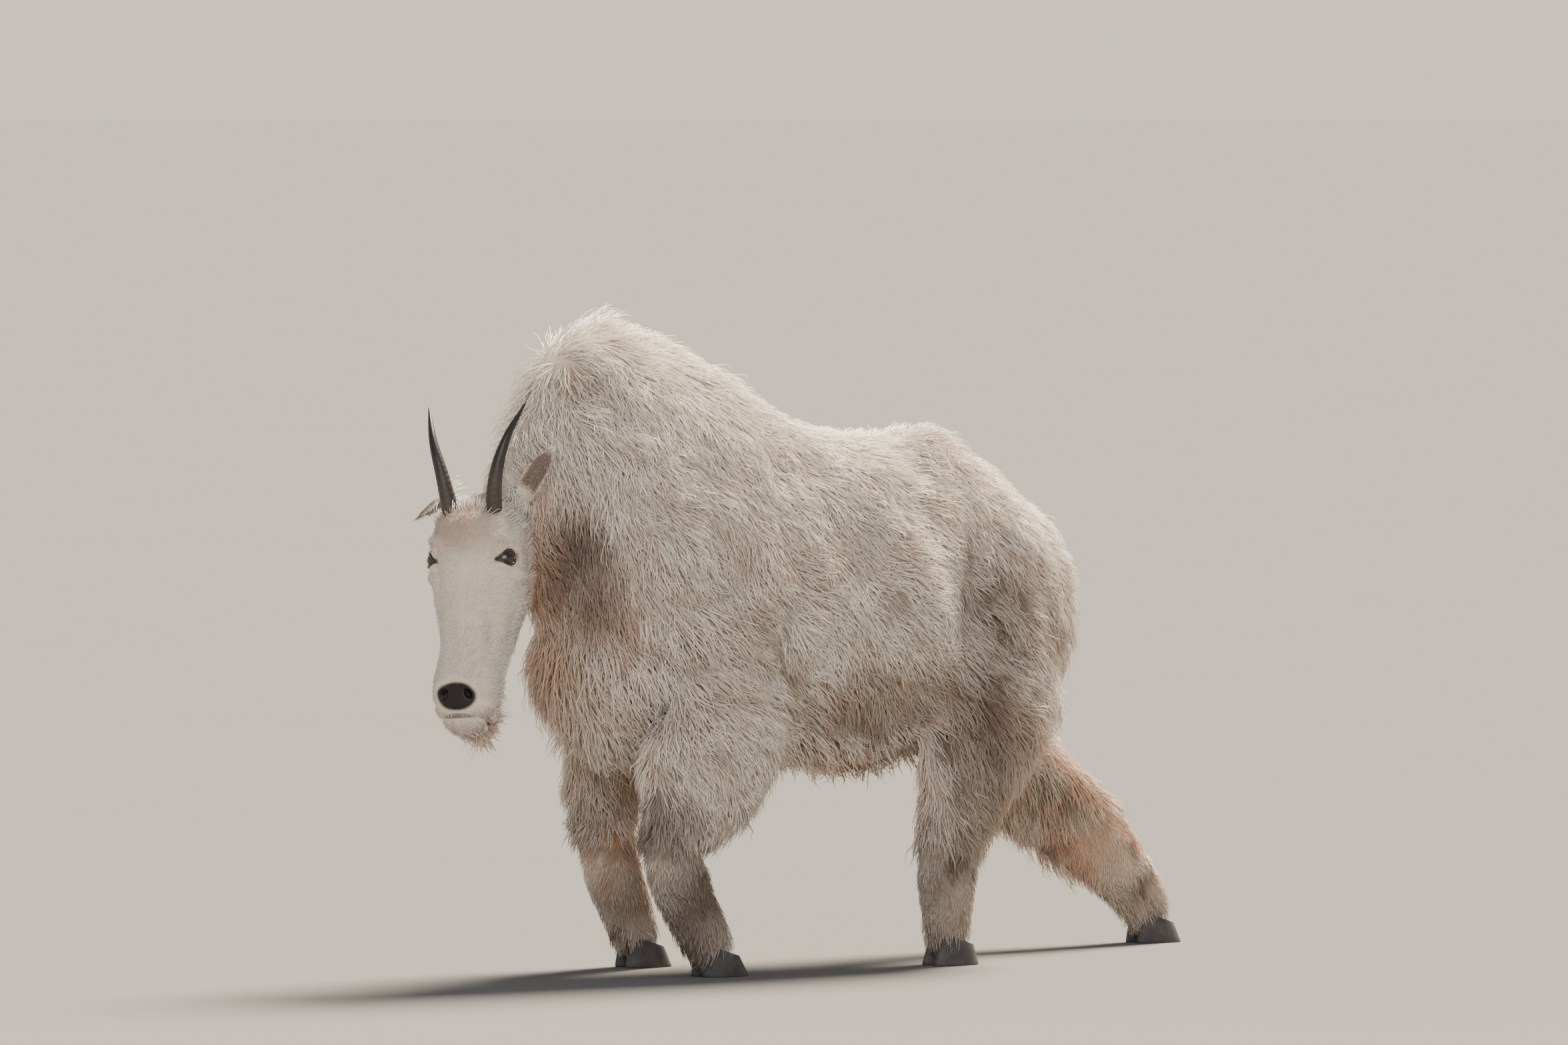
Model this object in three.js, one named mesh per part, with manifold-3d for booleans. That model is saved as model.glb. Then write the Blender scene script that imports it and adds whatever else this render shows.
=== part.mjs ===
// Mountain goat, life size, standing in the stride it was seen in.
// Millimetres, +Z up. The goat faces -Y and its left side is +X.
import * as THREE from "three";
import { mergeVertices } from "three/addons/utils/BufferGeometryUtils.js";
import Module from "manifold-3d";

const wasm = await Module();
wasm.setup();

// Sizes

const GAP = 0.3;                 // left between neighbouring parts
const LEG_OUT = 120;             // each foot from the middle plane
const HOOF_LENGTH = 84;
const HOOF_WIDTH = 70;
const HOOF_HEIGHT = 50;
const EYE_RADIUS = 16;
const EAR_LENGTH = 98;
const EAR_HALF_WIDTH = 23;
const HORN_BASE_RADIUS = 15;
const TAIL_LENGTH = 120;

const HEAD_AT = new THREE.Vector3(66, -438, 746);   // between the horn bases
const HEAD_TURN = 33;            // degrees to its left
const HEAD_TILT = 14;            // muzzle forward of straight down
const HEAD_ROLL = 3;             // left side higher

// Locks of the coat: half their width, half their thickness, how deep the root
// sits under the surface and how far the tip stands off it.
const LOCK = { width: 21, thick: 6.5, sink: 13, lift: 8 };

const COLOURS = {
  coat: "#d9cfc0",
  face: "#d3cec6",
  legs: "#a89a88",
  horn: "#2e2422",
  hoof: "#33353a",
  ear: "#c9c0b4",
  nose: "#1f1a1b",
  eye: "#1c1412",
};

// Trunk and neck, from the rump forward. Each ring stands across the body:
// y and x of its middle, the heights of its top, widest level and underside,
// half its width, and how square its upper and lower halves are (2 is round).
const BODY_RINGS = [
  { y: 752, x: 0, top: 706, mid: 556, low: 400, half: 122, over: 2.1, under: 2.0 },
  { y: 668, x: 0, top: 738, mid: 556, low: 385, half: 138, over: 2.1, under: 2.0 },
  { y: 580, x: 0, top: 802, mid: 560, low: 356, half: 168, over: 2.1, under: 2.1 },
  { y: 458, x: 0, top: 853, mid: 560, low: 336, half: 188, over: 2.0, under: 2.2 },
  { y: 322, x: 0, top: 850, mid: 545, low: 312, half: 200, over: 1.9, under: 2.2 },
  { y: 190, x: 0, top: 876, mid: 545, low: 322, half: 203, over: 1.8, under: 2.2 },
  { y: 60, x: 0, top: 938, mid: 560, low: 350, half: 194, over: 1.65, under: 2.1 },
  { y: -60, x: 0, top: 996, mid: 600, low: 380, half: 180, over: 1.55, under: 2.0 },
  { y: -165, x: 2, top: 1026, mid: 655, low: 430, half: 156, over: 1.5, under: 1.8 },
  { y: -255, x: 12, top: 962, mid: 715, low: 520, half: 98, over: 1.6, under: 1.5 },
  { y: -338, x: 40, top: 868, mid: 735, low: 590, half: 58, over: 1.7, under: 1.6 },
  { y: -400, x: 62, top: 800, mid: 720, low: 640, half: 48, over: 2.0, under: 1.8 },
];

const BRISKET = { at: [0, -98, 510], radii: [132, 160, 180] };

// Legs from inside the body down to the pastern: middle of each ring and its
// reach to the side, forward and back, square to the bone.
const LEG_RINGS = {
  fore_left: [
    { at: [92, 20, 650], side: 58, fore: 92, aft: 92 },
    { at: [106, 20, 500], side: 70, fore: 110, aft: 112 },
    { at: [128, -4, 385], side: 77, fore: 124, aft: 120 },
    { at: [131, -52, 288], side: 72, fore: 124, aft: 104 },
    { at: [127, -94, 214], side: 50, fore: 64, aft: 60 },
    { at: [123, -74, 140], side: 43, fore: 56, aft: 54 },
    { at: [121, -36, 74], side: 40, fore: 50, aft: 48 },
    { at: [120, -8, 24], side: 36, fore: 42, aft: 42 },
  ],
  fore_right: [
    { at: [-92, 20, 650], side: 58, fore: 92, aft: 92 },
    { at: [-106, 0, 500], side: 70, fore: 106, aft: 106 },
    { at: [-126, -26, 390], side: 73, fore: 104, aft: 98 },
    { at: [-127, -46, 290], side: 62, fore: 86, aft: 80 },
    { at: [-124, -52, 214], side: 48, fore: 58, aft: 57 },
    { at: [-121, -34, 140], side: 43, fore: 52, aft: 50 },
    { at: [-120, -6, 74], side: 40, fore: 48, aft: 46 },
    { at: [-120, 14, 24], side: 36, fore: 42, aft: 42 },
  ],
  hind_left: [
    { at: [76, 560, 650], side: 64, fore: 110, aft: 120 },
    { at: [96, 525, 520], side: 72, fore: 150, aft: 165 },
    { at: [117, 490, 400], side: 73, fore: 128, aft: 146 },
    { at: [123, 462, 290], side: 60, fore: 94, aft: 104 },
    { at: [121, 442, 205], side: 48, fore: 70, aft: 72 },
    { at: [120, 434, 130], side: 43, fore: 56, aft: 55 },
    { at: [120, 434, 70], side: 40, fore: 48, aft: 47 },
    { at: [120, 436, 24], side: 36, fore: 42, aft: 42 },
  ],
  hind_right: [
    { at: [-76, 560, 650], side: 64, fore: 104, aft: 120 },
    { at: [-96, 582, 505], side: 72, fore: 122, aft: 134 },
    { at: [-110, 648, 380], side: 70, fore: 118, aft: 120 },
    { at: [-116, 752, 288], side: 60, fore: 112, aft: 92 },
    { at: [-114, 846, 216], side: 50, fore: 98, aft: 72 },
    { at: [-115, 926, 148], side: 44, fore: 78, aft: 58 },
    { at: [-117, 985, 82], side: 40, fore: 56, aft: 48 },
    { at: [-118, 1008, 26], side: 36, fore: 42, aft: 42 },
  ],
};

// Where each upper leg leaves the body and where it ends above the cannon: a
// point on the cut, its lean in degrees, rising towards the rump, and how far
// the cut reaches ahead of the point and behind it.
const LEG_CUTS = {
  fore_left: {
    top: { y: -20, z: 334, lean: -4, ahead: 250, behind: 190 },
    knee: { y: -94, z: 190, lean: 16, ahead: 200, behind: 250 },
    hoofY: -2,
  },
  fore_right: {
    top: { y: -20, z: 334, lean: -4, ahead: 250, behind: 190 },
    knee: { y: -52, z: 190, lean: 6, ahead: 200, behind: 250 },
    hoofY: 18,
  },
  hind_left: {
    top: { y: 470, z: 330, lean: 10, ahead: 190, behind: 190 },
    knee: { y: 440, z: 190, lean: 0, ahead: 200, behind: 200 },
    hoofY: 438,
  },
  hind_right: {
    top: { y: 650, z: 348, lean: 14, ahead: 190, behind: 460 },
    knee: { y: 892, z: 182, lean: 36, ahead: 180, behind: 260 },
    hoofY: 1014,
  },
};

// The head in its own frame: x to its left, y backward, z up from the horns.
const HEAD_RINGS = [
  { z: 58, y: 72, half: 50, front: 44, back: 70, square: 2.0 },
  { z: 30, y: 68, half: 60, front: 56, back: 90, square: 2.1 },
  { z: -20, y: 62, half: 71, front: 64, back: 110, square: 2.2 },
  { z: -78, y: 60, half: 77, front: 66, back: 120, square: 2.1 },
  { z: -132, y: 58, half: 68, front: 60, back: 124, square: 2.0 },
  { z: -188, y: 52, half: 55, front: 52, back: 108, square: 2.0 },
  { z: -242, y: 44, half: 48, front: 45, back: 76, square: 2.1 },
  { z: -292, y: 38, half: 49, front: 45, back: 56, square: 2.3 },
  { z: -326, y: 40, half: 45, front: 42, back: 46, square: 2.3 },
  { z: -352, y: 46, half: 36, front: 36, back: 36, square: 2.2 },
];

const EYE_AT = [57, 31, -86];
const EAR_AT = [62, 88, 24];
const EAR_POINTS = { left: [56, -2, 84], right: [-78, 2, -34] };
const HORN_PATH = [[35, 26, -18], [44, 12, 42], [62, 6, 100], [82, 30, 160]];

// Fields of locks on the trunk and neck: where they grow, as shares of the way
// from rump to poll and degrees up from the left side, how many, how long, the
// way they lie and how far their tips lift. Paired fields repeat on the right.
const BODY_LOCKS = [
  { part: "neck", from: [0.825, 62], to: [0.93, 118], across: 3, along: 3, length: 90,
    lie: [0, 0.9, 0.1], lift: 4 },
  { part: "neck", from: [0.805, -20], to: [0.865, 36], across: 3, along: 2, length: 112,
    lie: [0.1, 0.4, -0.9], lift: 8, paired: true },
  { part: "torso", from: [0.56, 66], to: [0.79, 114], across: 3, along: 5, length: 108,
    lie: [0, 1, -0.1], lift: 4 },
  { part: "torso", from: [0.66, 4], to: [0.775, 48], across: 3, along: 2, length: 128,
    lie: [0, 0.5, -0.85], lift: 9, paired: true },
  { part: "torso", from: [0.24, -62], to: [0.56, -46], across: 1, along: 7, length: 92,
    lie: [0, 0.3, -1], lift: 0, paired: true },
  { part: "torso", from: [0.04, -6], to: [0.15, 58], across: 3, along: 2, length: 100,
    lie: [0, 0.25, -0.95], lift: 4, paired: true },
];

// Clumps of wool round the front of the chest, in degrees round from straight
// ahead and up from level.
const CHEST_LOCKS = { turns: [-60, -30, 0, 30, 60], rises: [28, -10], length: 128, lift: -8 };

// Fringes on the legs: shares of the way down each leg's rings, degrees round
// from its outer side (90 is the back of the left legs), and length.
const LEG_LOCKS = {
  fore_left: { from: [0.34, 20], to: [0.42, 160], across: 4, along: 2, length: 78, lift: 0 },
  fore_right: { from: [0.34, 20], to: [0.4, 160], across: 4, along: 1, length: 76, lift: 0 },
  hind_left: { from: [0.34, 30], to: [0.5, 140], across: 3, along: 3, length: 78, lift: 8 },
  hind_right: { from: [0.36, 40], to: [0.58, 150], across: 3, along: 3, length: 80, lift: 8 },
};

const BEARD = { count: 5, length: 64, spread: 32, width: 15 };

// Solids

/** A closed three.js shape as a solid that can be joined and cut. */
function toSolid(geometry) {
  const bare = new THREE.BufferGeometry();
  bare.setAttribute("position", geometry.getAttribute("position"));
  bare.setIndex(geometry.getIndex());
  const welded = mergeVertices(bare, 1e-4);
  const vertProperties = new Float32Array(welded.getAttribute("position").array);
  const triVerts = new Uint32Array(welded.getIndex().array);
  if (signedVolume(vertProperties, triVerts) < 0) {
    for (let i = 0; i < triVerts.length; i += 3) {
      [triVerts[i], triVerts[i + 1]] = [triVerts[i + 1], triVerts[i]];
    }
  }
  return new wasm.Manifold(new wasm.Mesh({ numProp: 3, vertProperties, triVerts }));
}

function signedVolume(points, triangles) {
  const corner = (i) => new THREE.Vector3().fromArray(points, 3 * triangles[i]);
  let sum = 0;
  for (let i = 0; i < triangles.length; i += 3) {
    sum += corner(i).dot(corner(i + 1).cross(corner(i + 2)));
  }
  return sum / 6;
}

/** A ball's closed skin moved so that place(along, angle) gives each point. */
function moulded(around, along, place) {
  const ball = new THREE.SphereGeometry(1, around, along);
  const bare = new THREE.BufferGeometry();
  bare.setAttribute("position", ball.getAttribute("position"));
  bare.setIndex(ball.getIndex());
  const geometry = mergeVertices(bare, 1e-5);
  const position = geometry.getAttribute("position");
  const point = new THREE.Vector3();
  for (let i = 0; i < position.count; i += 1) {
    point.fromBufferAttribute(position, i);
    const t = Math.acos(THREE.MathUtils.clamp(point.y, -1, 1)) / Math.PI;
    const angle = Math.atan2(point.z, point.x);
    point.copy(place(t, angle));
    position.setXYZ(i, point.x, point.y, point.z);
  }
  return geometry;
}

/** An ellipsoid, turned by degrees about x, y, z. */
function ellipsoid(at, radii, turn = [0, 0, 0], around = 14, along = 10) {
  const shape = new THREE.SphereGeometry(1, around, along);
  shape.scale(...radii);
  shape.rotateX(THREE.MathUtils.degToRad(turn[0]));
  shape.rotateY(THREE.MathUtils.degToRad(turn[1]));
  shape.rotateZ(THREE.MathUtils.degToRad(turn[2]));
  shape.translate(...at);
  return shape;
}

const joined = (solids) => solids.reduce((sum, next) => sum.add(next));

/** The largest closed surface of a solid. */
function largest(solid) {
  const pieces = solid.decompose();
  return pieces.reduce((best, next) => (next.volume() > best.volume() ? next : best));
}

/** A smooth curve through one number of every ring. */
function through(rings, value) {
  const curve = new THREE.CatmullRomCurve3(
    rings.map((ring) => new THREE.Vector3(value(ring), 0, 0)), false, "catmullrom", 0.5);
  return (t) => curve.getPoint(t).x;
}

/** How far a ring is closed in towards the two round ends of a loft. */
function endRounding(t, count, head = 1, tail = 1) {
  const q = t * (count - 1);
  const fromEnd = count - 1 - q;
  const near = q < head ? Math.sqrt(Math.max(0, 1 - (1 - q / head) ** 2)) : 1;
  const far = fromEnd < tail ? Math.sqrt(Math.max(0, 1 - (1 - fromEnd / tail) ** 2)) : 1;
  return near * far;
}

/** Rings lie closer together towards the ends, where the form turns in. */
const spread = (t) => 0.6 * t + 0.4 * 0.5 * (1 - Math.cos(Math.PI * t));

const power = (value, square) => Math.sign(value) * Math.abs(value) ** (2 / square);

// The body's own surface, as a function of place

const bodyCurves = {};
for (const key of ["y", "x", "top", "mid", "low", "half", "over", "under"]) {
  bodyCurves[key] = through(BODY_RINGS, (ring) => ring[key]);
}

/** A point of the trunk or neck: t from rump to poll, angle from the left, up. */
function bodyPoint(t, angle, grow = 0) {
  const ring = (key) => bodyCurves[key](t);
  const round = endRounding(t, BODY_RINGS.length);
  const above = Math.sin(angle) >= 0;
  const square = above ? ring("over") : ring("under");
  const reach = above ? ring("top") - ring("mid") : ring("mid") - ring("low");
  return new THREE.Vector3(
    ring("x") + (ring("half") * round + grow) * power(Math.cos(angle), square),
    ring("y") + grow * (1 - 2 * t),
    ring("mid") + (reach * round + grow) * power(Math.sin(angle), square));
}

function body(grow = 0) {
  return toSolid(moulded(28, 32, (t, angle) => bodyPoint(spread(t), angle, grow)));
}

/** A leg's ring of frames: middle, forward and side vectors square to the bone. */
function legCurves(rings) {
  const path = new THREE.CatmullRomCurve3(
    rings.map((ring) => new THREE.Vector3(...ring.at)), false, "catmullrom", 0.5);
  const reach = {};
  for (const key of ["side", "fore", "aft"]) {
    reach[key] = through(rings, (ring) => ring[key]);
  }
  return { path, reach, count: rings.length };
}

function legPoint(curves, t, angle, grow = 0) {
  const middle = curves.path.getPoint(t);
  const along = curves.path.getTangent(t);
  const side = new THREE.Vector3(1, 0, 0).addScaledVector(along, -along.x).normalize();
  const aft = new THREE.Vector3().crossVectors(side, along).normalize();
  const round = endRounding(t, curves.count, 0.8, 0.35);
  const length = Math.sin(angle) >= 0 ? curves.reach.aft(t) : curves.reach.fore(t);
  return middle
    .addScaledVector(along, grow * (2 * t - 1))
    .addScaledVector(side, (curves.reach.side(t) * round + grow) * power(Math.cos(angle), 2))
    .addScaledVector(aft, (length * round + grow) * power(Math.sin(angle), 2));
}

function leg(name, grow = 0) {
  const curves = legCurves(LEG_RINGS[name]);
  return toSolid(moulded(14, 21, (t, angle) => legPoint(curves, spread(t), angle, grow)));
}

// Locks of the coat

/** Draws between -1 and 1 that come out the same every time. */
function seeded(seed) {
  let state = seed;
  return () => {
    state = (state * 16807) % 2147483647;
    return 2 * state / 2147483647 - 1;
  };
}

/**
 * One flat lock that swells behind its root, bends and runs out to a point.
 * It grows at a point of the coat, lies along one way and stands off outward.
 */
function lock({ at, out, lie, length, width, lift }, grow = 0) {
  const along = lie.clone().addScaledVector(out, -lie.dot(out)).normalize();
  const across = new THREE.Vector3().crossVectors(along, out).normalize();
  const root = at.clone().addScaledVector(out, -LOCK.sink);
  const bend = at.clone().addScaledVector(along, 0.45 * length)
    .addScaledVector(out, 0.4 * lift + 5);
  const tip = at.clone().addScaledVector(along, length + 5 * grow).addScaledVector(out, lift);
  const path = new THREE.QuadraticBezierCurve3(root, bend, tip);
  return toSolid(moulded(4, 3, (t, angle) => {
    const full = t < 1e-3 || t > 1 - 1e-3 ? 0 : 1;
    const taper = full * Math.min(1, 1.5 * (1 - t) ** 0.75);
    return path.getPoint(t)
      .addScaledVector(across, (width * taper + 5 * grow * full) * Math.cos(angle))
      .addScaledVector(out, (LOCK.thick * taper + 1.5 * grow * full) * Math.sin(angle));
  }));
}

/** Locks set in staggered rows over a field of a surface given by point(t, angle). */
function field({ from, to, across, along, length, lie, lift = LOCK.lift }, point, mirror, seed) {
  const draw = seeded(seed);
  const locks = [];
  for (let row = 0; row < along; row += 1) {
    for (let column = 0; column < across; column += 1) {
      const shareAlong = (row + 0.5 + 0.16 * draw()) / along;
      const shareAcross = (column + 0.5 + (row % 2 ? 0.2 : -0.2) + 0.12 * draw()) / across;
      const t = THREE.MathUtils.lerp(from[0], to[0], shareAlong);
      const degrees = THREE.MathUtils.lerp(from[1], to[1], shareAcross);
      const angle = THREE.MathUtils.degToRad(mirror ? 180 - degrees : degrees);
      const at = point(t, angle);
      const out = outward(point, t, angle);
      const way = typeof lie === "function" ? lie(t) : new THREE.Vector3(...lie);
      way.x += 0.16 * draw() + 0.3 * out.x;
      way.y += 0.14 * draw();
      locks.push({
        at,
        out,
        lie: way,
        length: length * (1 + 0.14 * draw()),
        width: LOCK.width * (1 + 0.16 * draw()),
        lift,
      });
    }
  }
  return locks;
}

/** The outward direction of a surface given by point(t, angle). */
function outward(point, t, angle) {
  const step = 0.01;
  const alongT = point(t + step, angle).sub(point(t - step, angle));
  const round = point(t, angle + step).sub(point(t, angle - step));
  const out = new THREE.Vector3().crossVectors(round, alongT).normalize();
  const inside = point(t, angle).add(point(t, angle + Math.PI)).multiplyScalar(0.5);
  return out.dot(point(t, angle).sub(inside)) < 0 ? out.negate() : out;
}

function bodyLocks(part) {
  const locks = [];
  BODY_LOCKS.forEach((patch, index) => {
    if (patch.part !== part) {
      return;
    }
    locks.push(...field(patch, bodyPoint, false, 11 + 7 * index));
    if (patch.paired) {
      locks.push(...field(patch, bodyPoint, true, 97 + 7 * index));
    }
  });
  return locks;
}

function chestLocks() {
  const draw = seeded(41);
  const centre = new THREE.Vector3(...BRISKET.at);
  const radii = new THREE.Vector3(...BRISKET.radii);
  return CHEST_LOCKS.rises.flatMap((rise, row) => CHEST_LOCKS.turns.map((turn) => {
    const round = THREE.MathUtils.degToRad(turn + 9 * (row - 0.5) + 6 * draw());
    const up = THREE.MathUtils.degToRad(rise);
    const unit = new THREE.Vector3(
      Math.sin(round) * Math.cos(up), -Math.cos(round) * Math.cos(up), Math.sin(up));
    return {
      at: unit.clone().multiply(radii).add(centre),
      out: unit.clone().divide(radii).normalize(),
      lie: new THREE.Vector3(0.15 * draw(), 0.25, -1),
      length: CHEST_LOCKS.length * (1 + 0.12 * draw()),
      width: LOCK.width * 1.15,
      lift: CHEST_LOCKS.lift,
    };
  }));
}

function legLocks(name, seed) {
  const curves = legCurves(LEG_RINGS[name]);
  const point = (t, angle) => legPoint(curves, t, angle);
  const lie = (t) => curves.path.getTangent(t).add(new THREE.Vector3(0, 0.2, 0));
  return field({ ...LEG_LOCKS[name], lie }, point, name.endsWith("right"), seed);
}

/** A short beard hangs from the chin and the lower jaw, thinnest at the sides. */
function beardLocks() {
  const draw = seeded(73);
  const locks = [];
  for (let i = 0; i < BEARD.count; i += 1) {
    const share = 2 * i / (BEARD.count - 1) - 1;
    const at = new THREE.Vector3(share * BEARD.spread, 58 + 14 * (1 - share * share), -332)
      .applyMatrix4(headFrame);
    const out = new THREE.Vector3(0.5 * share, 0.8, -0.1).transformDirection(headFrame);
    locks.push({
      at,
      out,
      lie: new THREE.Vector3(0.1 * draw(), 0.15, -1),
      length: BEARD.length * (1 - 0.3 * share * share + 0.1 * draw()),
      width: BEARD.width,
      lift: 4,
    });
  }
  return locks;
}

const grown = (locks) => locks.map((one) => lock(one, GAP));
const withLocks = (solid, locks) => joined([solid, ...locks.map((one) => lock(one))]);

// Cutting planes

/** The block of space under a leg's cut, on the leg's own side of the body. */
function below({ y, z, lean, ahead, behind }, side, lift = 0) {
  const width = 400;
  const height = 520;
  const block = new THREE.BoxGeometry(width, ahead + behind, height);
  block.translate(side * (width / 2 + 4), (behind - ahead) / 2, -height / 2 + lift);
  block.rotateX(THREE.MathUtils.degToRad(lean));
  block.translate(0, y, z);
  return toSolid(block);
}

/** Everything ahead of the plane that parts neck from trunk. */
function aheadOfShoulder(lift = 0) {
  const size = 3000;
  const block = new THREE.BoxGeometry(size, size, size);
  block.translate(0, -size / 2 + lift, 0);
  block.rotateX(THREE.MathUtils.degToRad(-8));
  block.translate(0, -232, 740);
  return toSolid(block);
}

// Head

const headFrame = new THREE.Matrix4()
  .makeTranslation(HEAD_AT.x, HEAD_AT.y, HEAD_AT.z)
  .multiply(new THREE.Matrix4().makeRotationZ(THREE.MathUtils.degToRad(HEAD_TURN)))
  .multiply(new THREE.Matrix4().makeRotationX(THREE.MathUtils.degToRad(-HEAD_TILT)))
  .multiply(new THREE.Matrix4().makeRotationY(THREE.MathUtils.degToRad(-HEAD_ROLL)));

/** A shape drawn in the head's frame, as a solid in the goat's. */
const onHead = (geometry) => toSolid(geometry.applyMatrix4(headFrame));

const headCurves = {};
for (const key of ["z", "y", "half", "front", "back", "square"]) {
  headCurves[key] = through(HEAD_RINGS, (ring) => ring[key]);
}

function headPoint(t, angle, grow = 0) {
  const ring = (key) => headCurves[key](t);
  const round = endRounding(t, HEAD_RINGS.length);
  const reach = Math.sin(angle) >= 0 ? ring("back") : ring("front");
  return new THREE.Vector3(
    (ring("half") * round + grow) * power(Math.cos(angle), ring("square")),
    ring("y") + (reach * round + grow) * power(Math.sin(angle), ring("square")),
    ring("z") + grow * (1 - 2 * t));
}

function skull(grow = 0) {
  return onHead(moulded(22, 23, (t, angle) => headPoint(spread(t), angle, grow)));
}

function eye(side, grow = 0) {
  const [x, y, z] = EYE_AT;
  const radius = EYE_RADIUS + grow;
  return onHead(ellipsoid([side * x, y, z], [radius, radius, radius], [0, 0, 0], 12, 8));
}

/** Brow and lids: three soft rolls that stand round the eye. */
function lids(side) {
  const [x, y, z] = EYE_AT;
  return joined([
    onHead(ellipsoid([side * (x + 1), y - 2, z + 12], [15, 22, 7.5], [0, side * -20, 0], 10, 6)),
    onHead(ellipsoid([side * (x + 1), y + 1, z - 13], [15, 20, 5.5], [0, side * 14, 0], 10, 6)),
  ]);
}

/** Nostrils slant across the front of the muzzle. */
function nostril(side) {
  return onHead(ellipsoid([side * 17, -2, -306], [5.5, 14, 10], [0, side * -32, 0], 10, 8));
}

/** The line of the mouth runs back from under the nose along each cheek. */
function mouthLine() {
  const cheek = (side) => onHead(ellipsoid(
    [side * 40, 44, -321], [8, 40, 3], [24, 0, 0], 8, 6));
  const front = onHead(ellipsoid([0, 4, -334], [34, 12, 3], [0, 0, 0], 10, 6));
  return joined([cheek(-1), cheek(1), front]);
}

/** Lower lip and chin. */
function chin() {
  return onHead(ellipsoid([0, 38, -344], [33, 34, 22], [0, 0, 0], 12, 8));
}

/** The bare pad between the nostrils, down to the split of the lip. */
function nosePad(grow = 0) {
  return onHead(ellipsoid(
    [0, -2, -310], [27 + grow, 16 + grow, 21 + grow], [12, 0, 0], 14, 8));
}

/** A pointed ear, hollowed on its open side. */
function ear(side, grow = 0) {
  const to = new THREE.Vector3(...(side > 0 ? EAR_POINTS.left : EAR_POINTS.right));
  const along = to.clone().normalize();
  const open = new THREE.Vector3(0, -1, -0.25);
  open.addScaledVector(along, -open.dot(along)).normalize();
  const across = new THREE.Vector3().crossVectors(along, open);
  const start = new THREE.Vector3(side * EAR_AT[0], EAR_AT[1], EAR_AT[2]);
  const leaf = (length, half, depth, shift, sink) => moulded(10, 9, (t, angle) => {
    const width = Math.sin(Math.PI * Math.min(1, t ** 0.72)) ** 0.8;
    return start.clone()
      .addScaledVector(along, -sink + t * (length + sink))
      .addScaledVector(across, half * width * Math.cos(angle))
      .addScaledVector(open, shift * width + depth * width * Math.sin(angle));
  });
  const outer = onHead(leaf(EAR_LENGTH + grow, EAR_HALF_WIDTH + grow, 13 + grow, 0, 22));
  if (grow > 0) {
    return outer;
  }
  const cup = onHead(leaf(EAR_LENGTH - 14, EAR_HALF_WIDTH - 6, 12, 11, -12));
  return outer.subtract(cup);
}

/** A slender horn, ringed towards its base and curving out and back. */
function horn(side, grow = 0) {
  const path = new THREE.CatmullRomCurve3(
    HORN_PATH.map(([x, y, z]) => new THREE.Vector3(side * x, y, z)));
  return onHead(moulded(9, 20, (t, angle) => {
    const middle = path.getPoint(t);
    const along = path.getTangent(t);
    const out = new THREE.Vector3(1, 0, 0).addScaledVector(along, -along.x).normalize();
    const back = new THREE.Vector3().crossVectors(along, out);
    const ringing = 1 + 0.05 * Math.max(0, 1 - 1.7 * t) * Math.sin(t * 75);
    const taper = HORN_BASE_RADIUS * (1 - t) ** 0.72 * ringing * Math.min(1, t * 30);
    return middle
      .addScaledVector(along, grow * (2 * t - 1))
      .addScaledVector(out, (taper * 0.9 + grow) * Math.cos(angle))
      .addScaledVector(back, (taper + grow) * Math.sin(angle));
  }));
}

// Hooves and tail

/** A cloven hoof, flat on the floor, its two toes parted at the front. */
function hoof(side, y, grow = 0) {
  const shape = moulded(16, 5, (t, angle) => {
    const height = HOOF_HEIGHT * THREE.MathUtils.clamp((0.8 - t) / 0.6, 0, 1);
    const level = Math.sin(Math.PI * t) > 1e-3 ? 1 : 0;
    const slope = 1 - 0.22 * height / HOOF_HEIGHT;
    const forward = Math.sin(angle) < 0 ? 1.12 : 0.88;
    return new THREE.Vector3(
      side * LEG_OUT + level * (HOOF_WIDTH / 2 * slope + grow) * power(Math.cos(angle), 2.4),
      y + 0.18 * height
        + level * (HOOF_LENGTH / 2 * slope * forward + grow) * power(Math.sin(angle), 2.3),
      height + grow * (1 - 2 * t));
  });
  return toSolid(shape);
}

/** The wedge between the toes. */
function cleft(side, y) {
  const wedge = new THREE.ConeGeometry(1, 2, 4, 1);
  wedge.rotateY(Math.PI / 4);
  wedge.rotateX(Math.PI / 2);
  wedge.scale(8, 38, 60);
  wedge.translate(side * LEG_OUT, y - 38, 0);
  return toSolid(wedge);
}

function tail(grow = 0) {
  const path = new THREE.QuadraticBezierCurve3(
    new THREE.Vector3(0, 690, 672),
    new THREE.Vector3(0, 786, 690),
    new THREE.Vector3(0, 792, 680 - TAIL_LENGTH));
  return toSolid(moulded(10, 9, (t, angle) => {
    const middle = path.getPoint(t);
    const along = path.getTangent(t);
    const side = new THREE.Vector3(1, 0, 0);
    const back = new THREE.Vector3().crossVectors(along, side);
    const round = Math.sqrt(Math.max(0, 1 - (2 * t - 1) ** 4)) * (1 - 0.3 * t) + grow / 26;
    return middle
      .addScaledVector(side, 34 * round * Math.cos(angle))
      .addScaledVector(back, 24 * round * Math.sin(angle));
  }));
}

// The goat, whole, then parted with thin cuts

const SIDES = { fore_left: 1, fore_right: -1, hind_left: 1, hind_right: -1 };

const flesh = joined([
  body(),
  toSolid(ellipsoid(BRISKET.at, BRISKET.radii, [0, 0, 0], 26, 18)),
  ...Object.keys(LEG_RINGS).map((name) => leg(name)),
]);

const torsoLocks = [...bodyLocks("torso"), ...chestLocks()];
const torsoLocksGrown = joined(grown(torsoLocks));
const neckLocks = bodyLocks("neck");

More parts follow.
